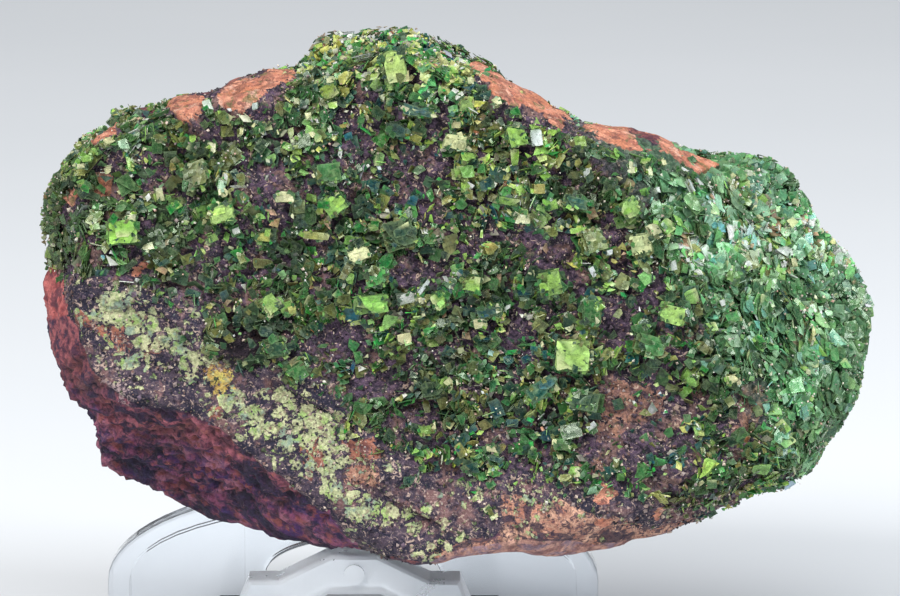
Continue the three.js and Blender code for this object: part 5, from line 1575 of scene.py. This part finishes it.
def grain_material():
    t = Tree("ground_grains")
    col = t.n("ShaderNodeAttribute", attribute_name="Col").outputs["Color"]
    co = t.n("ShaderNodeTexCoord").outputs["Object"]
    f = t.noise(co, 5200, 3, 0.6)
    c = t.mix(t.ramp(f, 0.35, 0.65), t.mix(0.5, col, (0, 0, 0, 1)), col)
    t.principled(Base_Color=c, Roughness=t.ramp(f, 0.3, 0.7, 0.45, 0.8), Normal=t.bump(f, 0.5, 0.0001))
    return t.mat


for pile, name, mat, stands_for, slot in (
    (pile_low, "druse_lower_plates", m_low, "metatorbernite_druse", "druse"),
    (pile_a, "druse_upper_plates_a", m_up, "metatorbernite_druse", "druse"),
    (pile_b, "druse_upper_plates_b", m_up, "metatorbernite_druse", "druse"),
    (pile_c, "druse_small_plates", m_small, "metatorbernite_druse", "druse"),
    (pile_d, "druse_blades", m_small, "metatorbernite_druse", "druse"),
    (pile_e, "druse_larger_plates", m_up, "metatorbernite_druse", "druse"),
    (grains, "rock_matrix_grains", grain_material(), "rock_matrix", "rock"),
):
    ob = pile.build(name, mat)
    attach(ob, "root")
    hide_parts(stands_for)

# ------------------------------------------------------------------ the clear stand
def clear_material():
    t = Tree("clear_moulding")
    co = t.n("ShaderNodeTexCoord").outputs["Object"]
    flow = t.noise(co, 90, 3, 0.5, 0.8)
    haze = t.noise(co, 260, 4, 0.6)
    bump = t.bump(flow, 0.25, 0.0004)
    # the crown in front is worn and milky, the arch behind clearer
    y = t.n("ShaderNodeSeparateXYZ", {"Vector": co}).outputs[1]
    front = t.ramp(y, -0.006, -0.011)
    r_ = t.math("ADD", t.math("MULTIPLY", front, 0.22), t.ramp(haze, 0.3, 0.7, 0.04, 0.14))
    w = t.math("SUBTRACT", 0.97, t.math("MULTIPLY", front, t.ramp(haze, 0.3, 0.7, 0.22, 0.42)))
    t.principled(
        Base_Color=(0.90, 0.94, 0.985, 1), Roughness=r_, IOR=1.49, Transmission_Weight=w, Normal=bump,
    )
    return t.mat


stand = frame["nodes"]["display_stand"]
stand.data.materials.clear()
stand.data.materials.append(clear_material())
bev = stand.modifiers.new("soft_edges", "BEVEL")
bev.width = 0.00035
bev.segments = 2
bev.limit_method = "ANGLE"
bev.angle_limit = math.radians(32)
bev.harden_normals = False

# ------------------------------------------------------------------ floor, light, camera
floor = bpy.data.meshes.new("floor")
floor.from_pydata([(-3, -3, 0), (3, -3, 0), (3, 3, 0), (-3, 3, 0)], [], [(0, 1, 2, 3)])
ft = Tree("pale_floor")
fco = ft.n("ShaderNodeTexCoord").outputs["Object"]
fc = ft.mix(ft.noise(fco, 6, 3), lin(214, 218, 222), lin(222, 225, 229))
ft.principled(Base_Color=fc, Roughness=0.85)
floor_ob = link(floor, "floor", ft.mat)


def area(name, place, look, size, power, colour=(1, 1, 1)):
    l = bpy.data.lights.new(name, "AREA")
    l.shape = "RECTANGLE"
    l.size, l.size_y = size
    l.energy = power
    l.color = colour
    ob = bpy.data.objects.new(name, l)
    bpy.context.scene.collection.objects.link(ob)
    ob.location = place
    ob.rotation_euler = (Vector(look) - Vector(place)).to_track_quat("-Z", "Y").to_euler()
    return ob


mid_z = 0.038
area("key", (-0.32, -0.40, 0.48), (0, 0, mid_z), (0.22, 0.22), 3.3, (1.0, 0.985, 0.96))
area("right", (0.52, -0.20, 0.34), (0, 0, mid_z), (0.24, 0.24), 3.4, (0.95, 0.98, 1.0))
sun = bpy.data.lights.new("overhead", "SUN")
sun.energy = 1.9
sun.angle = math.radians(60)
sun_ob = bpy.data.objects.new("overhead", sun)
bpy.context.scene.collection.objects.link(sun_ob)
sun_ob.rotation_euler = Vector((0.15, 0.38, -1.0)).to_track_quat("-Z", "Y").to_euler()
world_ = bpy.data.worlds.new("studio")
bpy.context.scene.world = world_
world_.use_nodes = True
world_.node_tree.nodes["Background"].inputs[0].default_value = (0.90, 0.94, 1.0, 1)
world_.node_tree.nodes["Background"].inputs[1].default_value = 0.17

cam = bpy.data.cameras.new("camera")
cam_ob = bpy.data.objects.new("camera", cam)
bpy.context.scene.collection.objects.link(cam_ob)
cam.sensor_fit = "HORIZONTAL"
cam.sensor_width = 36.0
cam.lens = 36.0 * VIEW / (900 * 0.0964)
cam.clip_start = 0.01
cam.clip_end = 20
cam_ob.location = world(np.array([0.0, -VIEW, 0.0]))
cam_ob.rotation_euler = (math.radians(80), 0, 0)
bpy.context.scene.camera = cam_ob
bpy.context.scene.view_settings.view_transform = "Standard"
